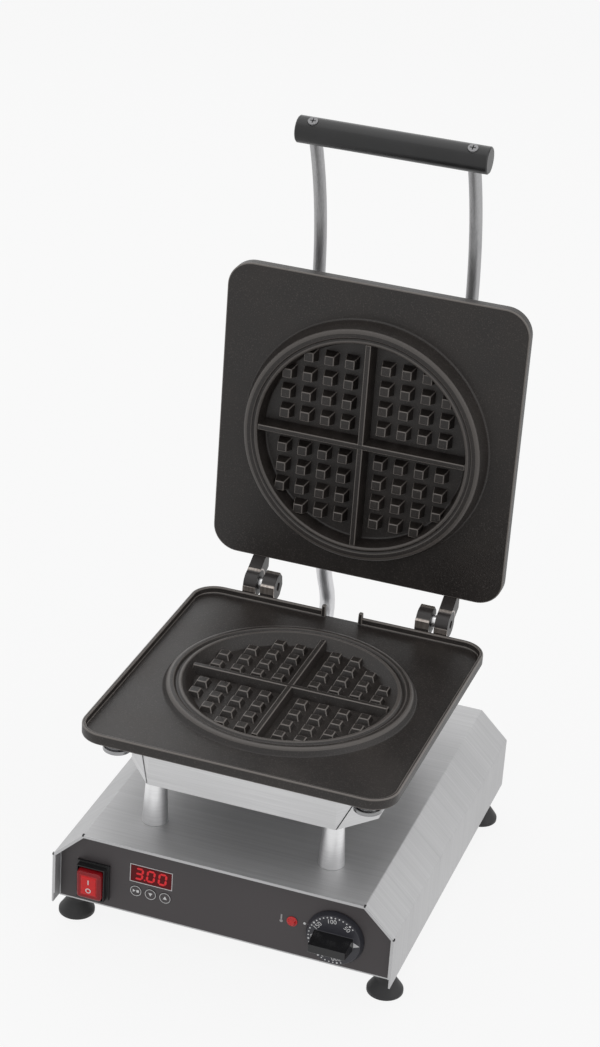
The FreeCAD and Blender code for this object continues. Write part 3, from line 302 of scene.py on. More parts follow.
def sleeve(place):
    """Smooth silver lead tube with faint lengthwise draw marks."""
    draw, cloud = place.noise(700, 2.0, (1, 1, 0.05)), place.noise(30, 2.0)
    return {"Base Color": (draw * 0.5 + cloud * 0.5).mix((0.56, 0.56, 0.57), (0.78, 0.78, 0.79)),
            "Roughness": cloud * 0.12 + draw * 0.1 + 0.20}


# A grain's stretch: small along the axis that it is drawn out on
ALONG_X_AND_Z, ALONG_X_AND_Y, ALONG_Z = (0.012, 1, 0.012), (0.012, 0.012, 1), (1, 1, 0.02)
RINGS = (0.05, 0.05, 1)
BLACK, COAL = (0.0075, 0.0075, 0.0080), (0.0160, 0.0160, 0.0170)
SHADE_BLACK = (0.0040, 0.0040, 0.0042)
hood_steel = finish(
    "brushed_hood_steel", brushed_sheet(ALONG_X_AND_Z, (0.40, 0.40, 0.405), (0.60, 0.60, 0.605), 0.42),
    Metallic=0.8)
pan_steel = finish(
    "brushed_pan_steel", brushed_sheet(ALONG_X_AND_Y, (0.51, 0.51, 0.515), (0.73, 0.73, 0.735), 0.32),
    Metallic=1.0)
FINISHES = {
    "sheet_steel": hood_steel,
    "dark_foil": finish("matt_panel_foil", panel_foil),
    "black_rubber": finish("black_foot_rubber", moulded(BLACK, (0.020, 0.020, 0.021), 0.52, 1800, 0.2)),
    "zinc_steel": finish("plated_fastener", plated, Metallic=1.0),
    "heater_steel": finish("blued_heater_tube", blued_tube, Metallic=0.9),
    "polished_steel": finish(
        "turned_bright_steel", turned_steel((0.74, 0.74, 0.745), (0.92, 0.92, 0.925), 0.26, RINGS),
        Metallic=1.0),
    "rod_steel": finish(
        "satin_rod_steel", turned_steel((0.34, 0.34, 0.345), (0.48, 0.48, 0.485), 0.38, ALONG_Z),
        Metallic=1.0),
    "black_grip": finish(
        "satin_grip", moulded((0.0060, 0.0060, 0.0062), (0.0105, 0.0105, 0.0110), 0.32, 3000, 0.08)),
    "cast_plate": finish("baked_cast_coat", cast_coat, Specular_IOR_Level=0.45),
    "black_plastic": finish("black_moulding", moulded(BLACK, COAL, 0.36)),
    "pale_plastic": finish("pale_insulator", moulded((0.55, 0.53, 0.46), (0.70, 0.68, 0.61), 0.5)),
    "board_green": finish("circuit_board_green", circuit_board),
    "red_plastic": finish("red_lamp_lens", lamp_red, Specular_IOR_Level=0.4),
    "red_window": finish("smoked_red_filter", smoked_red, Specular_IOR_Level=0.15),
    "button_grey": finish("key_foil", panel_foil),
    "knob_black": finish("dial_moulding", dial_black),
    "mineral_wool": finish("felted_mineral_wool", felted_wool),
    "conduit_sleeve": finish("silver_lead_tube", sleeve, Metallic=0.9),
}
nut_steel = finish(
    "dark_nut_steel", turned_steel((0.22, 0.22, 0.225), (0.42, 0.42, 0.425), 0.14, RINGS), Metallic=1.0)
screw_steel = finish(
    "dull_screw_steel", turned_steel((0.17, 0.17, 0.175), (0.30, 0.30, 0.305), 0.46, ALONG_Z), Metallic=1.0)
lug_finish = finish("rubbed_hinge_coat", rubbed_barrel)
rocker_finish = finish("painted_glow_rocker_red", rocker_red, Specular_IOR_Level=0.3)
segment_finish = finish("glowing_segment", lit_segment, Emission_Strength=0.45)
white_ink = finish("white_print", ink((0.62, 0.62, 0.62), (0.84, 0.84, 0.84)))
grey_ink = finish("grey_print", ink((0.30, 0.29, 0.29), (0.46, 0.45, 0.45)))
# Black stand-in for the shade inside gaps, slits and recesses: painted shade.
gap_shade = finish("painted_gap_shade", moulded(SHADE_BLACK, BLACK, 0.7))

for node in NODES.values():
    for slot in node.material_slots:
        slot.material = FINISHES[slot.material.name]
for name in ("lower_casing", "upper_casing", "lower_corner_tabs", "upper_corner_tabs"):
    NODES[name].material_slots[0].material = pan_steel


# Making pieces

def keep(name, shape, surface, body, stands_for=None):
    """Turns a bmesh into a piece that rides on a body, unless it has none, and takes a slot's finish."""
    mesh = bpy.data.meshes.new(name)
    shape.to_mesh(mesh)
    shape.free()
    mesh.materials.append(surface)
    made = bpy.data.objects.new(name, mesh)
    bpy.context.scene.collection.objects.link(made)
    if body:
        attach(made, body)
    if stands_for:
        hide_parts(stands_for)
    return made


def smooth(made, sharp=40):
    """Smooth shading that stays flat on large faces and breaks at folds above an angle."""
    made.data.shade_smooth()
    made.data.set_sharp_from_angle(angle=math.radians(sharp))
    flat = made.modifiers.new("flat_faces", "WEIGHTED_NORMAL")
    flat.keep_sharp = True
    return made


def softened(node, body, width, steps, least, surface=None):
    """Stands for a node with every fold above the least angle, in degrees, rounded by a width in steps."""
    source = NODES[node]
    shape = bmesh.new()
    shape.from_mesh(source.data)
    bmesh.ops.remove_doubles(shape, verts=shape.verts, dist=2e-6)
    bmesh.ops.dissolve_limit(shape, angle_limit=math.radians(0.4), verts=shape.verts, edges=shape.edges)
    folds = [e for e in shape.edges if e.is_manifold and e.calc_face_angle(0) > math.radians(least)]
    bmesh.ops.bevel(shape, geom=folds, offset=width * MM, offset_type="OFFSET", segments=steps, profile=0.5,
                    affect="EDGES", clamp_overlap=True)
    surface = surface or source.material_slots[0].material
    return smooth(keep(node + "_finished", shape, surface, body, node))


def on_panel(x, z, depth):
    """A place on the control panel in metres: depth is millimetres in front of the foil."""
    return Vector((x, FOIL_FRONT - depth, z)) * MM


def pad_outlines(shape, outlines, low, high, place=on_panel):
    """Adds flat prints to a bmesh: loops on a face, the panel if no other, raised from low to high."""
    for loop in outlines:
        back = [shape.verts.new(place(x, z, low)) for x, z in loop]
        front = [shape.verts.new(place(x, z, high)) for x, z in loop]
        shape.faces.new(front)
        for i in range(len(loop)):
            j = (i + 1) % len(loop)
            shape.faces.new((back[i], back[j], front[j], front[i]))
    bmesh.ops.recalc_face_normals(shape, faces=shape.faces)


def circle(x, z, radius, count=40):
    """A round outline."""
    return [(x + radius * math.cos(2 * math.pi * i / count), z + radius * math.sin(2 * math.pi * i / count))
            for i in range(count)]


def ring_pad(shape, x, z, outer, inner, low, high, place=on_panel, count=48):
    """Adds a flat printed ring to a bmesh."""
    rims = [[shape.verts.new(place(px, pz, depth)) for px, pz in circle(x, z, radius, count)]
            for radius, depth in ((outer, low), (outer, high), (inner, high), (inner, low))]
    for one, two in zip(rims, rims[1:]):
        for i in range(count):
            j = (i + 1) % count
            shape.faces.new((one[i], one[j], two[j], two[i]))
    bmesh.ops.recalc_face_normals(shape, faces=shape.faces)


def lettering(shape, words, depth, thick):
    """Adds figures to a bmesh: each is a text, its panel x and z, its height and its turn in degrees."""
    for text, x, z, height, turn in words:
        curve = bpy.data.curves.new("figure", "FONT")
        curve.body, curve.size = text, height * MM / 0.7
        curve.align_x, curve.align_y = "CENTER", "CENTER"
        curve.extrude, curve.resolution_u = thick * MM / 2, 3
        holder = bpy.data.objects.new("figure", curve)
        bpy.context.scene.collection.objects.link(holder)
        bpy.context.view_layer.update()
        flat = bpy.data.meshes.new_from_object(holder.evaluated_get(bpy.context.evaluated_depsgraph_get()))
        place = Matrix.Translation(on_panel(x, z, depth + thick / 2)) @ Matrix.Rotation(math.pi / 2, 4, "X")
        flat.transform(place @ Matrix.Rotation(math.radians(turn), 4, "Z"))
        shape.from_mesh(flat)
        bpy.data.objects.remove(holder)
        bpy.data.curves.remove(curve)
        bpy.data.meshes.remove(flat)


# Housing, plates, hinge and handle with rounded folds

for node, body, width, steps, least, surface in (
        ("base_housing", "base", 0.35, 2, 40, None),
        ("front_panel", "base", 0.3, 2, 40, None),
        ("rear_panel", "base", 0.4, 2, 40, None),
        ("bottom_plate", "base", 0.3, 2, 40, None),
        ("feet", "base", 0.7, 3, 28, None),
        ("support_pillars", "base", 0.5, 3, 40, None),
        ("lower_casing", "base", 0.35, 3, 30, None),
        ("upper_casing", "lid", 0.35, 3, 30, None),
        ("lower_corner_tabs", "base", 0.3, 2, 40, None),
        ("upper_corner_tabs", "lid", 0.3, 2, 40, None),
        ("lower_hinge_lugs", "base", 0.7, 3, 35, lug_finish),
        ("upper_hinge_lugs", "lid", 0.7, 3, 35, lug_finish),
        ("lower_thumb_nuts", "base", 0.6, 3, 35, nut_steel),
        ("upper_thumb_nuts", "lid", 0.6, 3, 35, nut_steel),
        ("handle_grip", "lid", 0.8, 3, 35, None),
        ("grip_screws", "lid", 0.5, 3, 35, screw_steel),
        ("switch_bezel", "base", 0.8, 3, 40, None),
        ("thermostat_knob", "knob", 0.5, 3, 28, None),
        ("pilot_lamp", "base", 0.6, 3, 35, None),
        ("cable_gland", "base", 0.6, 2, 35, None)):
    softened(node, body, width, steps, least, surface)


# Cast plates with every edge rounded: tray, rim, ring, ribs and studs

class Seat:
    """A plate's own axes: across and along lie in its face, out is where the mould opens."""

    def __init__(self, middle, along, out):
        self.middle, self.across = Vector(middle), Vector((1, 0, 0))
        self.along, self.out = Vector(along), Vector(out)

    def at(self, across, along, out):
        """A place in metres."""
        return (self.middle + self.across * across + self.along * along + self.out * out) * MM


def rounded_rectangle(left, right, near, far, radius, steps=14, runs=20):
    """Outline of a plate, anticlockwise from the middle of its far side, its straight sides in equal runs."""
    corners = ((left + radius, far - radius, 90), (left + radius, near + radius, 180),
               (right - radius, near + radius, 270), (right - radius, far - radius, 0))
    arcs = [[((left + right) / 2, far)]]
    for x, y, start in corners:
        turns = [math.radians(start + 90 * i / steps) for i in range(steps + 1)]
        arcs.append([(x + radius * math.cos(t), y + radius * math.sin(t)) for t in turns])
    loop = []
    for arc, following in zip(arcs, arcs[1:] + arcs[:1]):
        (x0, y0), (x1, y1) = arc[-1], following[0]
        loop += arc + [(x0 + (x1 - x0) * i / runs, y0 + (y1 - y0) * i / runs) for i in range(1, runs)]
    return loop


def skin(shape, rows, closed=True):
    """Quads between rows of vertices of one length."""
    for one, two in zip(rows, rows[1:]):
        count = len(one)
        for i in range(count if closed else count - 1):
            j = (i + 1) % count
            shape.faces.new((one[i], one[j], two[j], two[i]))


def tray(shape, seat, size, radius, levels, hole=None):
    """A slab between levels of (inset, out), its last face open round a hole's radius if one is given."""
    left, right, near, far = size
    rows = []
    for inset, out in levels:
        corner = max(radius - inset, 0.5)
        loop = rounded_rectangle(left + inset, right - inset, near + inset, far - inset, corner)
        rows.append([shape.verts.new(seat.at(x, y, out)) for x, y in loop])
    if hole:
        out = levels[-1][1]
        turns = [math.atan2(y, x) for x, y in rounded_rectangle(left, right, near, far, radius)]
        rows.append([shape.verts.new(seat.at(hole * math.cos(t), hole * math.sin(t), out)) for t in turns])
    skin(shape, rows)
    shape.faces.new(rows[0])
    if not hole:
        shape.faces.new(rows[-1])


def turned(shape, seat, profile, count=160):
    """A ring from a profile of (radius, out), inwards; a profile that ends at radius 0 closes there."""
    rows = []
    for radius, out in profile:
        if radius == 0:
            tip = shape.verts.new(seat.at(0, 0, out))
            for i in range(count):
                shape.faces.new((rows[-1][i], rows[-1][(i + 1) % count], tip))
            break
        rows.append([shape.verts.new(seat.at(x, y, out)) for x, y in circle(0, 0, radius, count)])
    skin(shape, rows)


def tapered_block(shape, seat, middle, base, tip, low, high, soft):
    """A bar or stud that narrows outwards, with its edges rounded."""
    x, y = middle
    verts = []
    for (half_x, half_y), out in ((base, low), (tip, high)):
        verts.append([shape.verts.new(seat.at(x + a * half_x, y + b * half_y, out))
                      for a, b in ((-1, -1), (1, -1), (1, 1), (-1, 1))])
    faces = [shape.faces.new(verts[1])]
    faces += [shape.faces.new((verts[0][i], verts[0][(i + 1) % 4], verts[1][(i + 1) % 4], verts[1][i]))
              for i in range(4)]
    edges = {e for f in faces for e in f.edges if not e.is_boundary}
    bmesh.ops.bevel(shape, geom=list(edges), offset=soft * MM, offset_type="OFFSET", segments=3, profile=0.5,
                    affect="EDGES", clamp_overlap=True)


RIB_BASE, RIB_TIP, RIB_SOFT = 5.0, 2.5, 0.7            # half widths and rounding of the cross ribs
RIB_PAST_WALL, RIB_DROP = 1.5, 0.06                    # they end inside the wall, and one lies a hair lower
STUD_FIRST, STUD_PITCH, STUDS_IN_ROW = 17.5, 20, 4
STUD_BASE, STUD_TIP, STUD_SOFT = 6.75, 4.5, 0.75       # half widths and rounding of a stud
STUD_INSET, STUD_WALL_GAP = 5, 4                       # a stud whose inner corner nears the wall is left out
SUNK = 0.3                                             # ribs and studs start this far below the floor


def waffle_mould(shape, seat, ring, floor_out, wall, stud_high, rib_high):
    """Ring, bowl, cross ribs and four quarters of studs."""
    turned(shape, seat, ring)
    reach, low = wall + RIB_PAST_WALL, floor_out - SUNK
    for base, tip, drop in (((reach, RIB_BASE), (reach, RIB_TIP), 0),
                            ((RIB_BASE, reach), (RIB_TIP, reach), RIB_DROP)):
        tapered_block(shape, seat, (0, 0), base, tip, low, rib_high - drop, RIB_SOFT)
    steps = [STUD_FIRST + STUD_PITCH * i for i in range(STUDS_IN_ROW)]
    for x in steps:
        for y in steps:
            if math.hypot(x - STUD_INSET, y - STUD_INSET) > wall - STUD_WALL_GAP:
                continue
            for sx in (-1, 1):
                for sy in (-1, 1):
                    tapered_block(shape, seat, (sx * x, sy * y), (STUD_BASE, STUD_BASE), (STUD_TIP, STUD_TIP),
                                  low, stud_high, STUD_SOFT)


# Lightening of thin edge faces and of ring crests: part wear of the coat, part painted highlight.
THIN_FACE, CREST_STEP, CREST_REACH, CREST_WEAR_AND_HIGHLIGHT = 0.95, 2.2, 0.1, 0.45


def crests(profile):
    """Spans of radius and of height in which a ring's profile rounds over a crest, not into a groove."""
    steps = [Vector(b) - Vector(a) for a, b in zip(profile, profile[1:])]
    turns = [a.cross(b) > 1e-6 for a, b in zip(steps, steps[1:])]
    spans = zip(profile[1:], profile[2:], steps[1:], turns, turns[1:])
    return [(b[0], a[0], sorted((a[1], b[1]))) for a, b, step, before, after in spans
            if before and after and step.length < CREST_STEP]


def cast_piece(name, shape, seat, ring, body, node):
    """Keeps a plate and marks where its coat is painted lighter, partly as coat rubbed bare and partly as
    painted highlight: thin faces at its edges, and crests of the ring.
    """
    bmesh.ops.recalc_face_normals(shape, faces=shape.faces)
    edge = shape.faces.layers.float.new("edge")
    bands = crests(ring)
    for face in shape.faces:
        spot = face.calc_center_median() / MM - seat.middle
        radius, out = math.hypot(spot.dot(seat.across), spot.dot(seat.along)), spot.dot(seat.out)
        longest = max(e.calc_length() for e in face.edges)
        thin = len(face.verts) == 4 and face.calc_area() / longest < THIN_FACE * MM
        crest = any(low < radius < high and bottom - CREST_REACH < out < top + CREST_REACH
                    for low, high, (bottom, top) in bands)
        on_ring = bands[-1][0] < radius < bands[0][1]
        face[edge] = CREST_WEAR_AND_HIGHLIGHT if crest else 1.0 if thin and not on_ring else 0.0
    return smooth(keep(name, shape, FINISHES["cast_plate"], body, node), 50)


low_seat = Seat((0, -39.91, 0), (0, 1, 0), (0, 0, 1))
lid_seat = Seat(HINGE + LID_ALONG * 163.5, LID_ALONG, LID_OUT)
PLATE_CORNER = 25

# Lower plate: tray with a raised rim that stops at the spout, and the round mould

LOW_SIZE = (-145.5, 145.5, -155.0, 150.0)
LOW_LEVELS = [(1.4, 196.5), (0.6, 196.9), (0.6, 200.2), (0.9, 200.5)]
LOW_RIM = [(1.2, 196.5), (0.35, 196.85), (0, 197.7), (0, 205.8), (0.35, 206.65), (1.2, 207),
           (2.3, 207), (3.15, 206.65), (3.5, 205.8), (3.6, 201.8), (4.0, 201.0), (5.0, 200.45)]
LOW_RING = [(116.4, 200.2), (115.4, 200.6), (114.4, 201.6), (112.4, 204.9), (111.4, 206.0), (110.2, 206.7),
            (108.8, 207.0), (106.2, 207.0), (105.0, 206.6), (104.2, 205.5), (103.0, 205.0), (101.8, 205.4),
            (101.0, 206.5), (100.0, 207.0), (98.6, 207.0), (97.6, 206.6), (96.8, 205.6), (89.6, 198.6),
            (88.6, 197.7), (87.0, 197.4), (70, 197.4), (35, 197.4), (0, 197.4)]
LOW_HOLE, LOW_FLOOR, LOW_WALL, LOW_STUD, LOW_RIB = 113.0, 197.4, 92, 202.4, 206
SPOUT_HALF, SPOUT_CLEAR = 16.5, 16.6

lower = bmesh.new()
tray(lower, low_seat, LOW_SIZE, PLATE_CORNER, LOW_LEVELS, LOW_HOLE)
rim_rows = []
for inset, out in LOW_RIM:
    left, right = LOW_SIZE[0] + inset, LOW_SIZE[1] - inset
    near, far = LOW_SIZE[2] + inset, LOW_SIZE[3] - inset
    line = [(x, y) for x, y in rounded_rectangle(left, right, near, far, PLATE_CORNER - inset)
            if y < far - 0.001 or abs(x) > SPOUT_CLEAR]
    line = [(-SPOUT_HALF, far)] + line + [(SPOUT_HALF, far)]
    rim_rows.append([lower.verts.new(low_seat.at(x, y, out)) for x, y in line])
skin(lower, rim_rows, closed=False)
for end in (0, -1):
    lower.faces.new([row[end] for row in rim_rows])
for sx in (-1, 1):
    tapered_block(lower, low_seat, (sx * 18.5, 148.2), (2.2, 2.6), (2.0, 2.2), 199.5, 212, 1.0)
waffle_mould(lower, low_seat, LOW_RING, LOW_FLOOR, LOW_WALL, LOW_STUD, LOW_RIB)
cast_piece("lower_plate_casting", lower, low_seat, LOW_RING, "base", "lower_plate")

# Upper plate: thick flat slab that carries a deeper mould

UP_SIZE = (-145.5, 145.5, -142.0, 154.0)
UP_LEVELS = [(1.0, -24), (0.3, -23.7), (0, -23), (0, -14.2), (0.35, -13.35), (1.2, -13)]
UP_RING = [(121.6, -13.3), (120.0, -12.7), (119.0, -11.4), (115.4, 2.4), (114.6, 3.7), (113.2, 4.45),
           (111.6, 4.6), (108.2, 4.6), (107.4, 4.2), (106.9, 3.5), (106.0, 3.2), (105.2, 3.5), (104.8, 4.2),
           (104.0, 4.6), (103.2, 4.6), (102.2, 4.1), (101.7, 3.2), (98.9, -9.6), (98.2, -10.6), (96.8, -10.9),
           (75, -10.9), (35, -10.9), (0, -10.9)]
UP_FLOOR, UP_WALL, UP_STUD, UP_RIB = -10.9, 100, -0.4, 3.6

upper = bmesh.new()
tray(upper, lid_seat, UP_SIZE, PLATE_CORNER, UP_LEVELS)
waffle_mould(upper, lid_seat, UP_RING, UP_FLOOR, UP_WALL, UP_STUD, UP_RIB)
cast_piece("upper_plate_casting", upper, lid_seat, UP_RING, "lid", "upper_plate")


# Display: frame, glowing figures and point

def seven_segments(x, z, width, height, lit, bar=2.0, slant=0.10):
    """Bars of one figure as loops, slanted a little; lit names the bars a to g."""
    half_w, half_h, gap = width / 2, height / 2, 0.18
    spans = {"a": (-half_w, half_h, half_w, half_h), "g": (-half_w, 0, half_w, 0),
             "d": (-half_w, -half_h, half_w, -half_h), "f": (-half_w, 0, -half_w, half_h),
             "b": (half_w, 0, half_w, half_h), "e": (-half_w, -half_h, -half_w, 0),
             "c": (half_w, -half_h, half_w, 0)}
    loops = []
    for name in lit:
        x0, z0, x1, z1 = spans[name]
        run = Vector((x1 - x0, z1 - z0)).normalized()
        side = Vector((-run.y, run.x)) * bar / 2
        start = Vector((x0, z0)) + run * gap
        end = Vector((x1, z1)) - run * gap
        tip = run * bar / 2
        six = (start, start + tip + side, end - tip + side, end, end - tip - side, start + tip - side)
        loops.append([(x + p.x + p.y * slant, z + p.y) for p in six])
    return loops


DISPLAY_X, DISPLAY_Z, DISPLAY_W, DISPLAY_H = -69.8, 68.9, 39.5, 17.5
FIGURE_W, FIGURE_H = 6.4, 10.6
FIGURES = ((-11.6, "abgcd"), (-0.4, "abcdef"), (10.8, "abcdef"))
PRINT_SUNK, PRINT_PROUD = 0.05, 0.06


def proud_of_foil(node):
    """How far a node's front stands out from the foil."""
    return FOIL_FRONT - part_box(node)[0].y / MM


window_front = proud_of_foil("display_window")
glow_low, glow_high = window_front - 0.1, window_front + PRINT_PROUD
figures = bmesh.new()
for step, lit in FIGURES:
    bars = seven_segments(DISPLAY_X + step, DISPLAY_Z, FIGURE_W, FIGURE_H, lit)
    pad_outlines(figures, bars, glow_low, glow_high)
pad_outlines(figures, [circle(DISPLAY_X - 6.2, DISPLAY_Z - FIGURE_H / 2, 0.8, 16)], glow_low, glow_high)
keep("display_figures", figures, segment_finish, "base")

border = bmesh.new()
wide, tall, line = DISPLAY_W / 2 + 0.5, DISPLAY_H / 2 + 0.5, 0.55
for x0, x1, z0, z1 in ((-wide, wide, tall - line, tall), (-wide, wide, -tall, line - tall),
                       (-wide, line - wide, line - tall, tall - line),
                       (wide - line, wide, line - tall, tall - line)):
    corners = [(x0, z0), (x1, z0), (x1, z1), (x0, z1)]
    pad_outlines(border, [[(DISPLAY_X + x, DISPLAY_Z + z) for x, z in corners]], -0.1, 0.25)
keep("display_border", border, white_ink, "base")

# Keys: printed rings and signs

KEY_Z, KEY_PITCH, KEY_RING, KEY_RING_INSIDE = 50.5, 14, 5.25, 4.75
SIGNS = {
    "mode": [[(-2.9, 1.6), (-2.9, -1.6), (-0.3, 0)], [(0.6, 1.3), (0.6, -1.3), (3.0, -1.3), (3.0, 1.3)]],
    "down": [[(-2.0, 1.4), (0, -2.0), (2.0, 1.4)]],
    "up": [[(-2.0, -1.4), (2.0, -1.4), (0, 2.0)]],
}
key_front = proud_of_foil("button_mode")
ink_low, ink_high = key_front - PRINT_SUNK, key_front + PRINT_PROUD
for place, (key, loops) in enumerate(SIGNS.items()):
    x = DISPLAY_X + (place - 1) * KEY_PITCH
    print_shape = bmesh.new()
    ring_pad(print_shape, x, KEY_Z, KEY_RING, KEY_RING_INSIDE, ink_low, ink_high)
    outlines = [[(x + px, KEY_Z + pz) for px, pz in loop] for loop in loops]
    pad_outlines(print_shape, outlines, ink_low, ink_high)
    keep(f"key_{key}_print", print_shape, white_ink, f"key_{key}")

# Panel signs: temperature sign beside the lamp and the dial's index point

signs = bmesh.new()
bulb, stem = circle(53.6, 58.2, 1.5, 20), [(52.9, 59.2), (54.3, 59.2), (54.3, 65.0), (52.9, 65.0)]
pad_outlines(signs, [bulb, stem], -PRINT_SUNK, PRINT_PROUD)
keep("temperature_sign", signs, grey_ink, "base")
index = bmesh.new()
pad_outlines(index, [circle(75.2, 61.4, 1.25, 24)], -PRINT_SUNK, 0.08)
keep("dial_index_point", index, white_ink, "base")

# Dial: ticks, figures and pointer on the disc

KNOB_X, KNOB_Z = 104, 55.6
DISC_GAP, DISC_THICK = 0.6, 5
TICKS, TICK_START, TICK_STEP, TICK_RADIUS = 28, 43, 9.2, 23.0
NUMBER_START, NUMBER_STEP, NUMBER_RADIUS, NUMBER_TALL = 52, 46, 18.7, 4.3
POINTER = [(18.2, 2.7), (18.2, -2.7), (24.2, 0)]


def on_dial(radius, degrees):
    """A place on the dial's face."""
    turn = math.radians(degrees)
    return KNOB_X + radius * math.cos(turn), KNOB_Z + radius * math.sin(turn)


disc_front = DISC_GAP + DISC_THICK
mark_low, mark_high = disc_front - 0.1, disc_front + PRINT_PROUD
marks = bmesh.new()
for tick in range(TICKS):
    dot = 0.95 if tick % 5 == 1 else 0.684
    spot = on_dial(TICK_RADIUS, TICK_START + TICK_STEP * tick)
    pad_outlines(marks, [circle(*spot, dot, 12)], mark_low, mark_high)
pad_outlines(marks, [[(KNOB_X + x, KNOB_Z + z) for x, z in POINTER]], mark_low, mark_high)
turns = [NUMBER_START + NUMBER_STEP * i for i in range(6)]
words = [(str(50 * (i + 1)), *on_dial(NUMBER_RADIUS, turn), NUMBER_TALL, turn - 90)
         for i, turn in enumerate(turns)]
lettering(marks, words, disc_front - PRINT_SUNK, 0.1)
keep("dial_marks", marks, white_ink, "knob")

# Switch: soft cap with a moulded step, and its printed bar and ring

FACE_ALONG, FACE_OUT = Vector((0, -0.0534, 0.9986)), Vector((0, -0.9986, -0.0534))
CAP_SIZE, CAP_CORNER = (-12, 12, -14.5, 14.5), 3.2
CAP_LEVELS = [(0, -15.5), (0, -2.8), (0.3, -1.5), (1.0, -0.5), (2.2, 0), (3.6, 0), (4.0, -0.15), (4.3, -0.5),
              (4.7, -0.5), (5.0, -0.1), (5.6, 0.1), (6.4, 0.15)]
SIGN_LOW, SIGN_HIGH = 0.05, 0.22
cap_seat = Seat((ROCKER_X, -199.87, 51.1), FACE_ALONG, FACE_OUT)
cap = bmesh.new()
tray(cap, cap_seat, CAP_SIZE, CAP_CORNER, CAP_LEVELS)
bmesh.ops.recalc_face_normals(cap, faces=cap.faces)
smooth(keep("switch_cap", cap, rocker_finish, "rocker", "switch_rocker"), 50)
sign = bmesh.new()
on_bar = [(-0.5, 2.0), (0.5, 2.0), (0.5, 7.0), (-0.5, 7.0)]
pad_outlines(sign, [on_bar], SIGN_LOW, SIGN_HIGH, cap_seat.at)
ring_pad(sign, 0, -4.6, 2.6, 1.7, SIGN_LOW, SIGN_HIGH, cap_seat.at)
keep("switch_print", sign, white_ink, "rocker")

# Hood: dark blocks at the bends of the front edge, painted shade inside the relief gaps

HOOD_FRONT, HOOD_BENDS = -198.91, ((131.4, 102.6), (159.6, 75.6))
notch_shade = bmesh.new()
for sx in (-1, 1):
    for x, z in HOOD_BENDS:
        seat = Seat((sx * x, HOOD_FRONT, z), (0, 0, 1), (0, -1, 0))
        tapered_block(notch_shade, seat, (0, 0), (0.9, 0.9), (0.75, 0.75), -2.5, 0.15, 0.1)
keep("hood_relief_gap_shade", notch_shade, gap_shade, "base")

# Pans: folded flap over each corner wall, and a dark strip of painted shade along its slanting seam

WALL_START, WALL_END, FLAP_END, SEAM_FOOT, SEAM_TOP = (88, 119), (117, 84.6), 44, 1.2, 38.6


def corner_flaps(name, seat, low, high, body):
    """Thin flaps on the four corner walls of a pan, with a strip of painted seam shade; low and high are its
    levels along the seat's out axis.
    """
    flaps, seam_shades = bmesh.new(), bmesh.new()
    rise = abs(high - low)
    bottom, top = 0.4, rise - 0.3
    flap = [(SEAM_FOOT, bottom), (FLAP_END, bottom), (FLAP_END, top), (SEAM_TOP, top)]
    seam = [(SEAM_FOOT - 0.7, bottom), (SEAM_FOOT + 0.1, bottom),
            (SEAM_TOP + 0.1, top), (SEAM_TOP - 0.8, top)]
    for sx in (-1, 1):
        for sy in (-1, 1):
            start, end = (Vector((sx * x, sy * y)) for x, y in (WALL_START, WALL_END))
            run = (end - start).normalized()
            away = Vector((run.y, -run.x))
            if away.dot(start) < 0:
                away.negate()

            def wall(along, up, proud):
                spot = start + run * along + away * proud
                return seat.at(spot.x, spot.y, low + (high - low) * up / rise)
            pad_outlines(flaps, [flap], -0.2, 0.75, wall)
            # The seam strip is painted shade of the gap beside the flap's slanting edge.
            pad_outlines(seam_shades, [seam], -0.2, 0.12, wall)
    smooth(keep(name + "_flaps", flaps, pan_steel, body), 30)
    keep(name + "_seams", seam_shades, gap_shade, body)


corner_flaps("lower_pan", low_seat, 145, 196.5, "base")
corner_flaps("upper_pan", lid_seat, -84, -24, "lid")

# Grip screws: a dark cross on each head, painted shade of its cross recess

HEAD, HEAD_ALONG, HEAD_OUT = (74.65, 147.69, 671.77), (0, 0.8712, 0.4909), (0, -0.4909, 0.8712)
SLOT_LONG, SLOT_WIDE = 2.7, 0.55
recess = bmesh.new()
for sx in (-1, 1):
    head = Seat((sx * HEAD[0], *HEAD[1:]), HEAD_ALONG, HEAD_OUT)
    for half_x, half_y in ((SLOT_LONG, SLOT_WIDE), (SLOT_WIDE, SLOT_LONG)):
        pad_outlines(recess, [[(-half_x, -half_y), (half_x, -half_y), (half_x, half_y), (-half_x, half_y)]],
                     -0.3, 0.05, head.at)
keep("grip_screw_recess_shade", recess, gap_shade, "lid")

# Lead tube from the base to the lid: leans over with the lid

TUBE_RADIUS = 7.5
ROUTE = [(-33, 144.09, 93.5), (-33, 144.09, 112), (-33, 145.5, 141), (-35.5, 180.09, 175),
         (-40, 163.76, 221.3), (-40, 164.0, 246), (-40, 164.5, 265)]
tube = bpy.data.curves.new("lead_tube", "CURVE")
tube.dimensions, tube.bevel_depth, tube.bevel_resolution = "3D", TUBE_RADIUS * MM, 6
tube.resolution_u, tube.use_fill_caps = 14, True
route = tube.splines.new("NURBS")
route.points.add(len(ROUTE) - 1)
for point, (x, y, z) in zip(route.points, ROUTE):
    point.co = (x * MM, y * MM, z * MM, 1)
route.order_u, route.use_endpoint_u = 3, True
holder = bpy.data.objects.new("lead_tube_curve", tube)
bpy.context.scene.collection.objects.link(holder)
bpy.context.view_layer.update()
lead_mesh = bpy.data.meshes.new_from_object(holder.evaluated_get(bpy.context.evaluated_depsgraph_get()))
bpy.data.objects.remove(holder)
lead_shape = bmesh.new()
lead_shape.from_mesh(lead_mesh)
lead = keep("lead_tube", lead_shape, FINISHES["conduit_sleeve"], None, "power_conduit")
lead.data.shade_smooth()
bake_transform(lead)


# Studio: pale floor, soft lamps, white surroundings

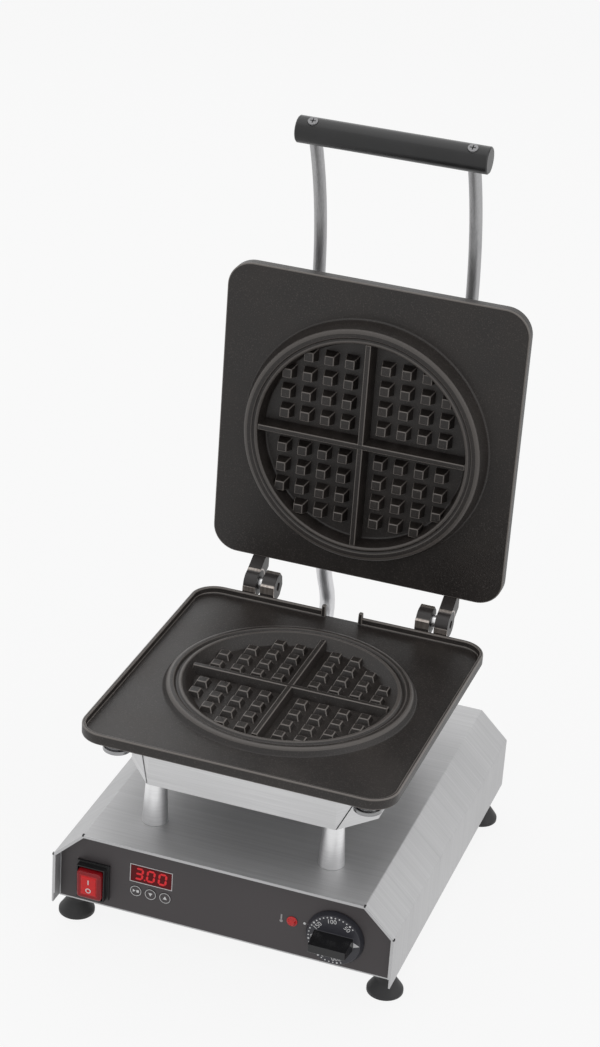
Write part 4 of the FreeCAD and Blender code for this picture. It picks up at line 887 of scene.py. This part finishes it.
FLOOR_HALF, FLOOR_DROP, FLOOR_GLOW = 9.0, 0.0002, 0.88
PAPER_DARK, PAPER_LIGHT = (0.54, 0.54, 0.54), (0.58, 0.58, 0.58)
SKY_LOW, SKY_HIGH, SKY_TURN = (0.84, 0.84, 0.845), (0.74, 0.74, 0.745), 0.75


def seen(place):
    """1 for what the eye, gloss and glass see, 0 for what only sheds light."""
    rays = place.node("LightPath", out="Is Camera Ray") + place.node("LightPath", out="Is Glossy Ray")
    return (rays + place.node("LightPath", out="Is Transmission Ray")).clamp()


def studio_floor():
    """Pale paper floor that looks nearly white and keeps the object's shadow."""
    shape = bmesh.new()
    bmesh.ops.create_grid(shape, x_segments=2, y_segments=2, size=FLOOR_HALF)
    mesh = bpy.data.meshes.new("studio_floor")
    shape.to_mesh(mesh)
    shape.free()
    made = bpy.data.objects.new("studio_floor", mesh)
    made.location.z = -FLOOR_DROP
    bpy.context.scene.collection.objects.link(made)
    paper = bpy.data.materials.new("white_paper")
    paper.use_nodes = True
    tree = paper.node_tree
    shader = tree.nodes["Principled BSDF"]
    shader.inputs["Roughness"].default_value = 0.9
    shader.inputs["Specular IOR Level"].default_value = 0.0
    place = Wire(tree).node("TexCoord", out="Object")
    tooth = place.noise(400, 2.0)
    tree.links.new(tooth.mix(PAPER_DARK, PAPER_LIGHT).socket, shader.inputs["Base Color"])
    glow = place.node("Emission", inputs={"Color": (1, 1, 1, 1), "Strength": 1.0})
    share = seen(place) * FLOOR_GLOW
    mixed = place.node("MixShader", inputs={0: share, 1: Wire(tree, shader.outputs[0]), 2: glow})
    tree.links.new(mixed.socket, tree.nodes["Material Output"].inputs["Surface"])
    mesh.materials.append(paper)


def studio_world():
    """White to the eye and in gloss; the light that it sheds is a bright horizon under a calmer sky."""
    world = bpy.data.worlds.new("studio")
    bpy.context.scene.world = world
    world.use_nodes = True
    tree = world.node_tree
    place = Wire(tree).node("TexCoord", out="Generated")
    sky = place.axis("Z").band(0.0, SKY_TURN).mix(SKY_LOW, SKY_HIGH)
    back = tree.nodes["Background"]
    tree.links.new(seen(place).mix(sky, (1, 1, 1)).socket, back.inputs["Color"])
    back.inputs["Strength"].default_value = 1.0


def soft_lamp(name, place, aim, width, height, power):
    """A large flat lamp turned towards a place."""
    lamp = bpy.data.lights.new(name, "AREA")
    lamp.shape, lamp.size, lamp.size_y, lamp.energy = "RECTANGLE", width, height, power
    made = bpy.data.objects.new(name, lamp)
    made.location = place
    made.rotation_euler = (Vector(aim) - Vector(place)).to_track_quat("-Z", "Y").to_euler()
    bpy.context.scene.collection.objects.link(made)


studio_floor()
studio_world()
soft_lamp("top_lamp", (-0.25, 0.4, 2.6), (0, 0, 0.2), 3.2, 2.6, 17)
soft_lamp("back_lamp", (-1.05, 1.95, 1.25), (0, 0, 0.2), 1.8, 1.4, 3)
soft_lamp("side_lamp", (2.3, -0.3, 1.4), (0, 0, 0.3), 1.6, 1.8, 7)


IMAGE_TALL, FOCAL, SHIFT_X, SHIFT_Y = 1047, 2610.17, -9.138, 5.815   # in pixels
SENSOR = 36
TURN, RISE, ROLL = math.radians(17.535), math.radians(26.463), math.radians(3.993)
AIM, DISTANCE = Vector((1.144, -18.91, 354.55)), 2.312816


def photo_camera():
    """Camera of the photograph: 17.5 degrees to the right, 26.5 above, with a slight roll."""
    back = Vector((math.sin(TURN) * math.cos(RISE), -math.cos(TURN) * math.cos(RISE), math.sin(RISE)))
    right = Vector((math.cos(TURN), math.sin(TURN), 0))
    up = back.cross(right)
    across = math.cos(ROLL) * right + math.sin(ROLL) * up
    over = math.cos(ROLL) * up - math.sin(ROLL) * right
    lens = bpy.data.cameras.new("photo_camera")
    lens.sensor_fit, lens.sensor_height = "VERTICAL", SENSOR
    lens.lens = FOCAL / IMAGE_TALL * SENSOR
    lens.shift_x, lens.shift_y = SHIFT_X / IMAGE_TALL, SHIFT_Y / IMAGE_TALL
    made = bpy.data.objects.new("photo_camera", lens)
    axes = Matrix((across, over, back)).transposed().to_4x4()
    made.matrix_world = Matrix.Translation(AIM * MM + back * DISTANCE) @ axes
    bpy.context.scene.collection.objects.link(made)
    bpy.context.scene.camera = made


photo_camera()
bpy.context.scene.view_settings.view_transform = "Standard"
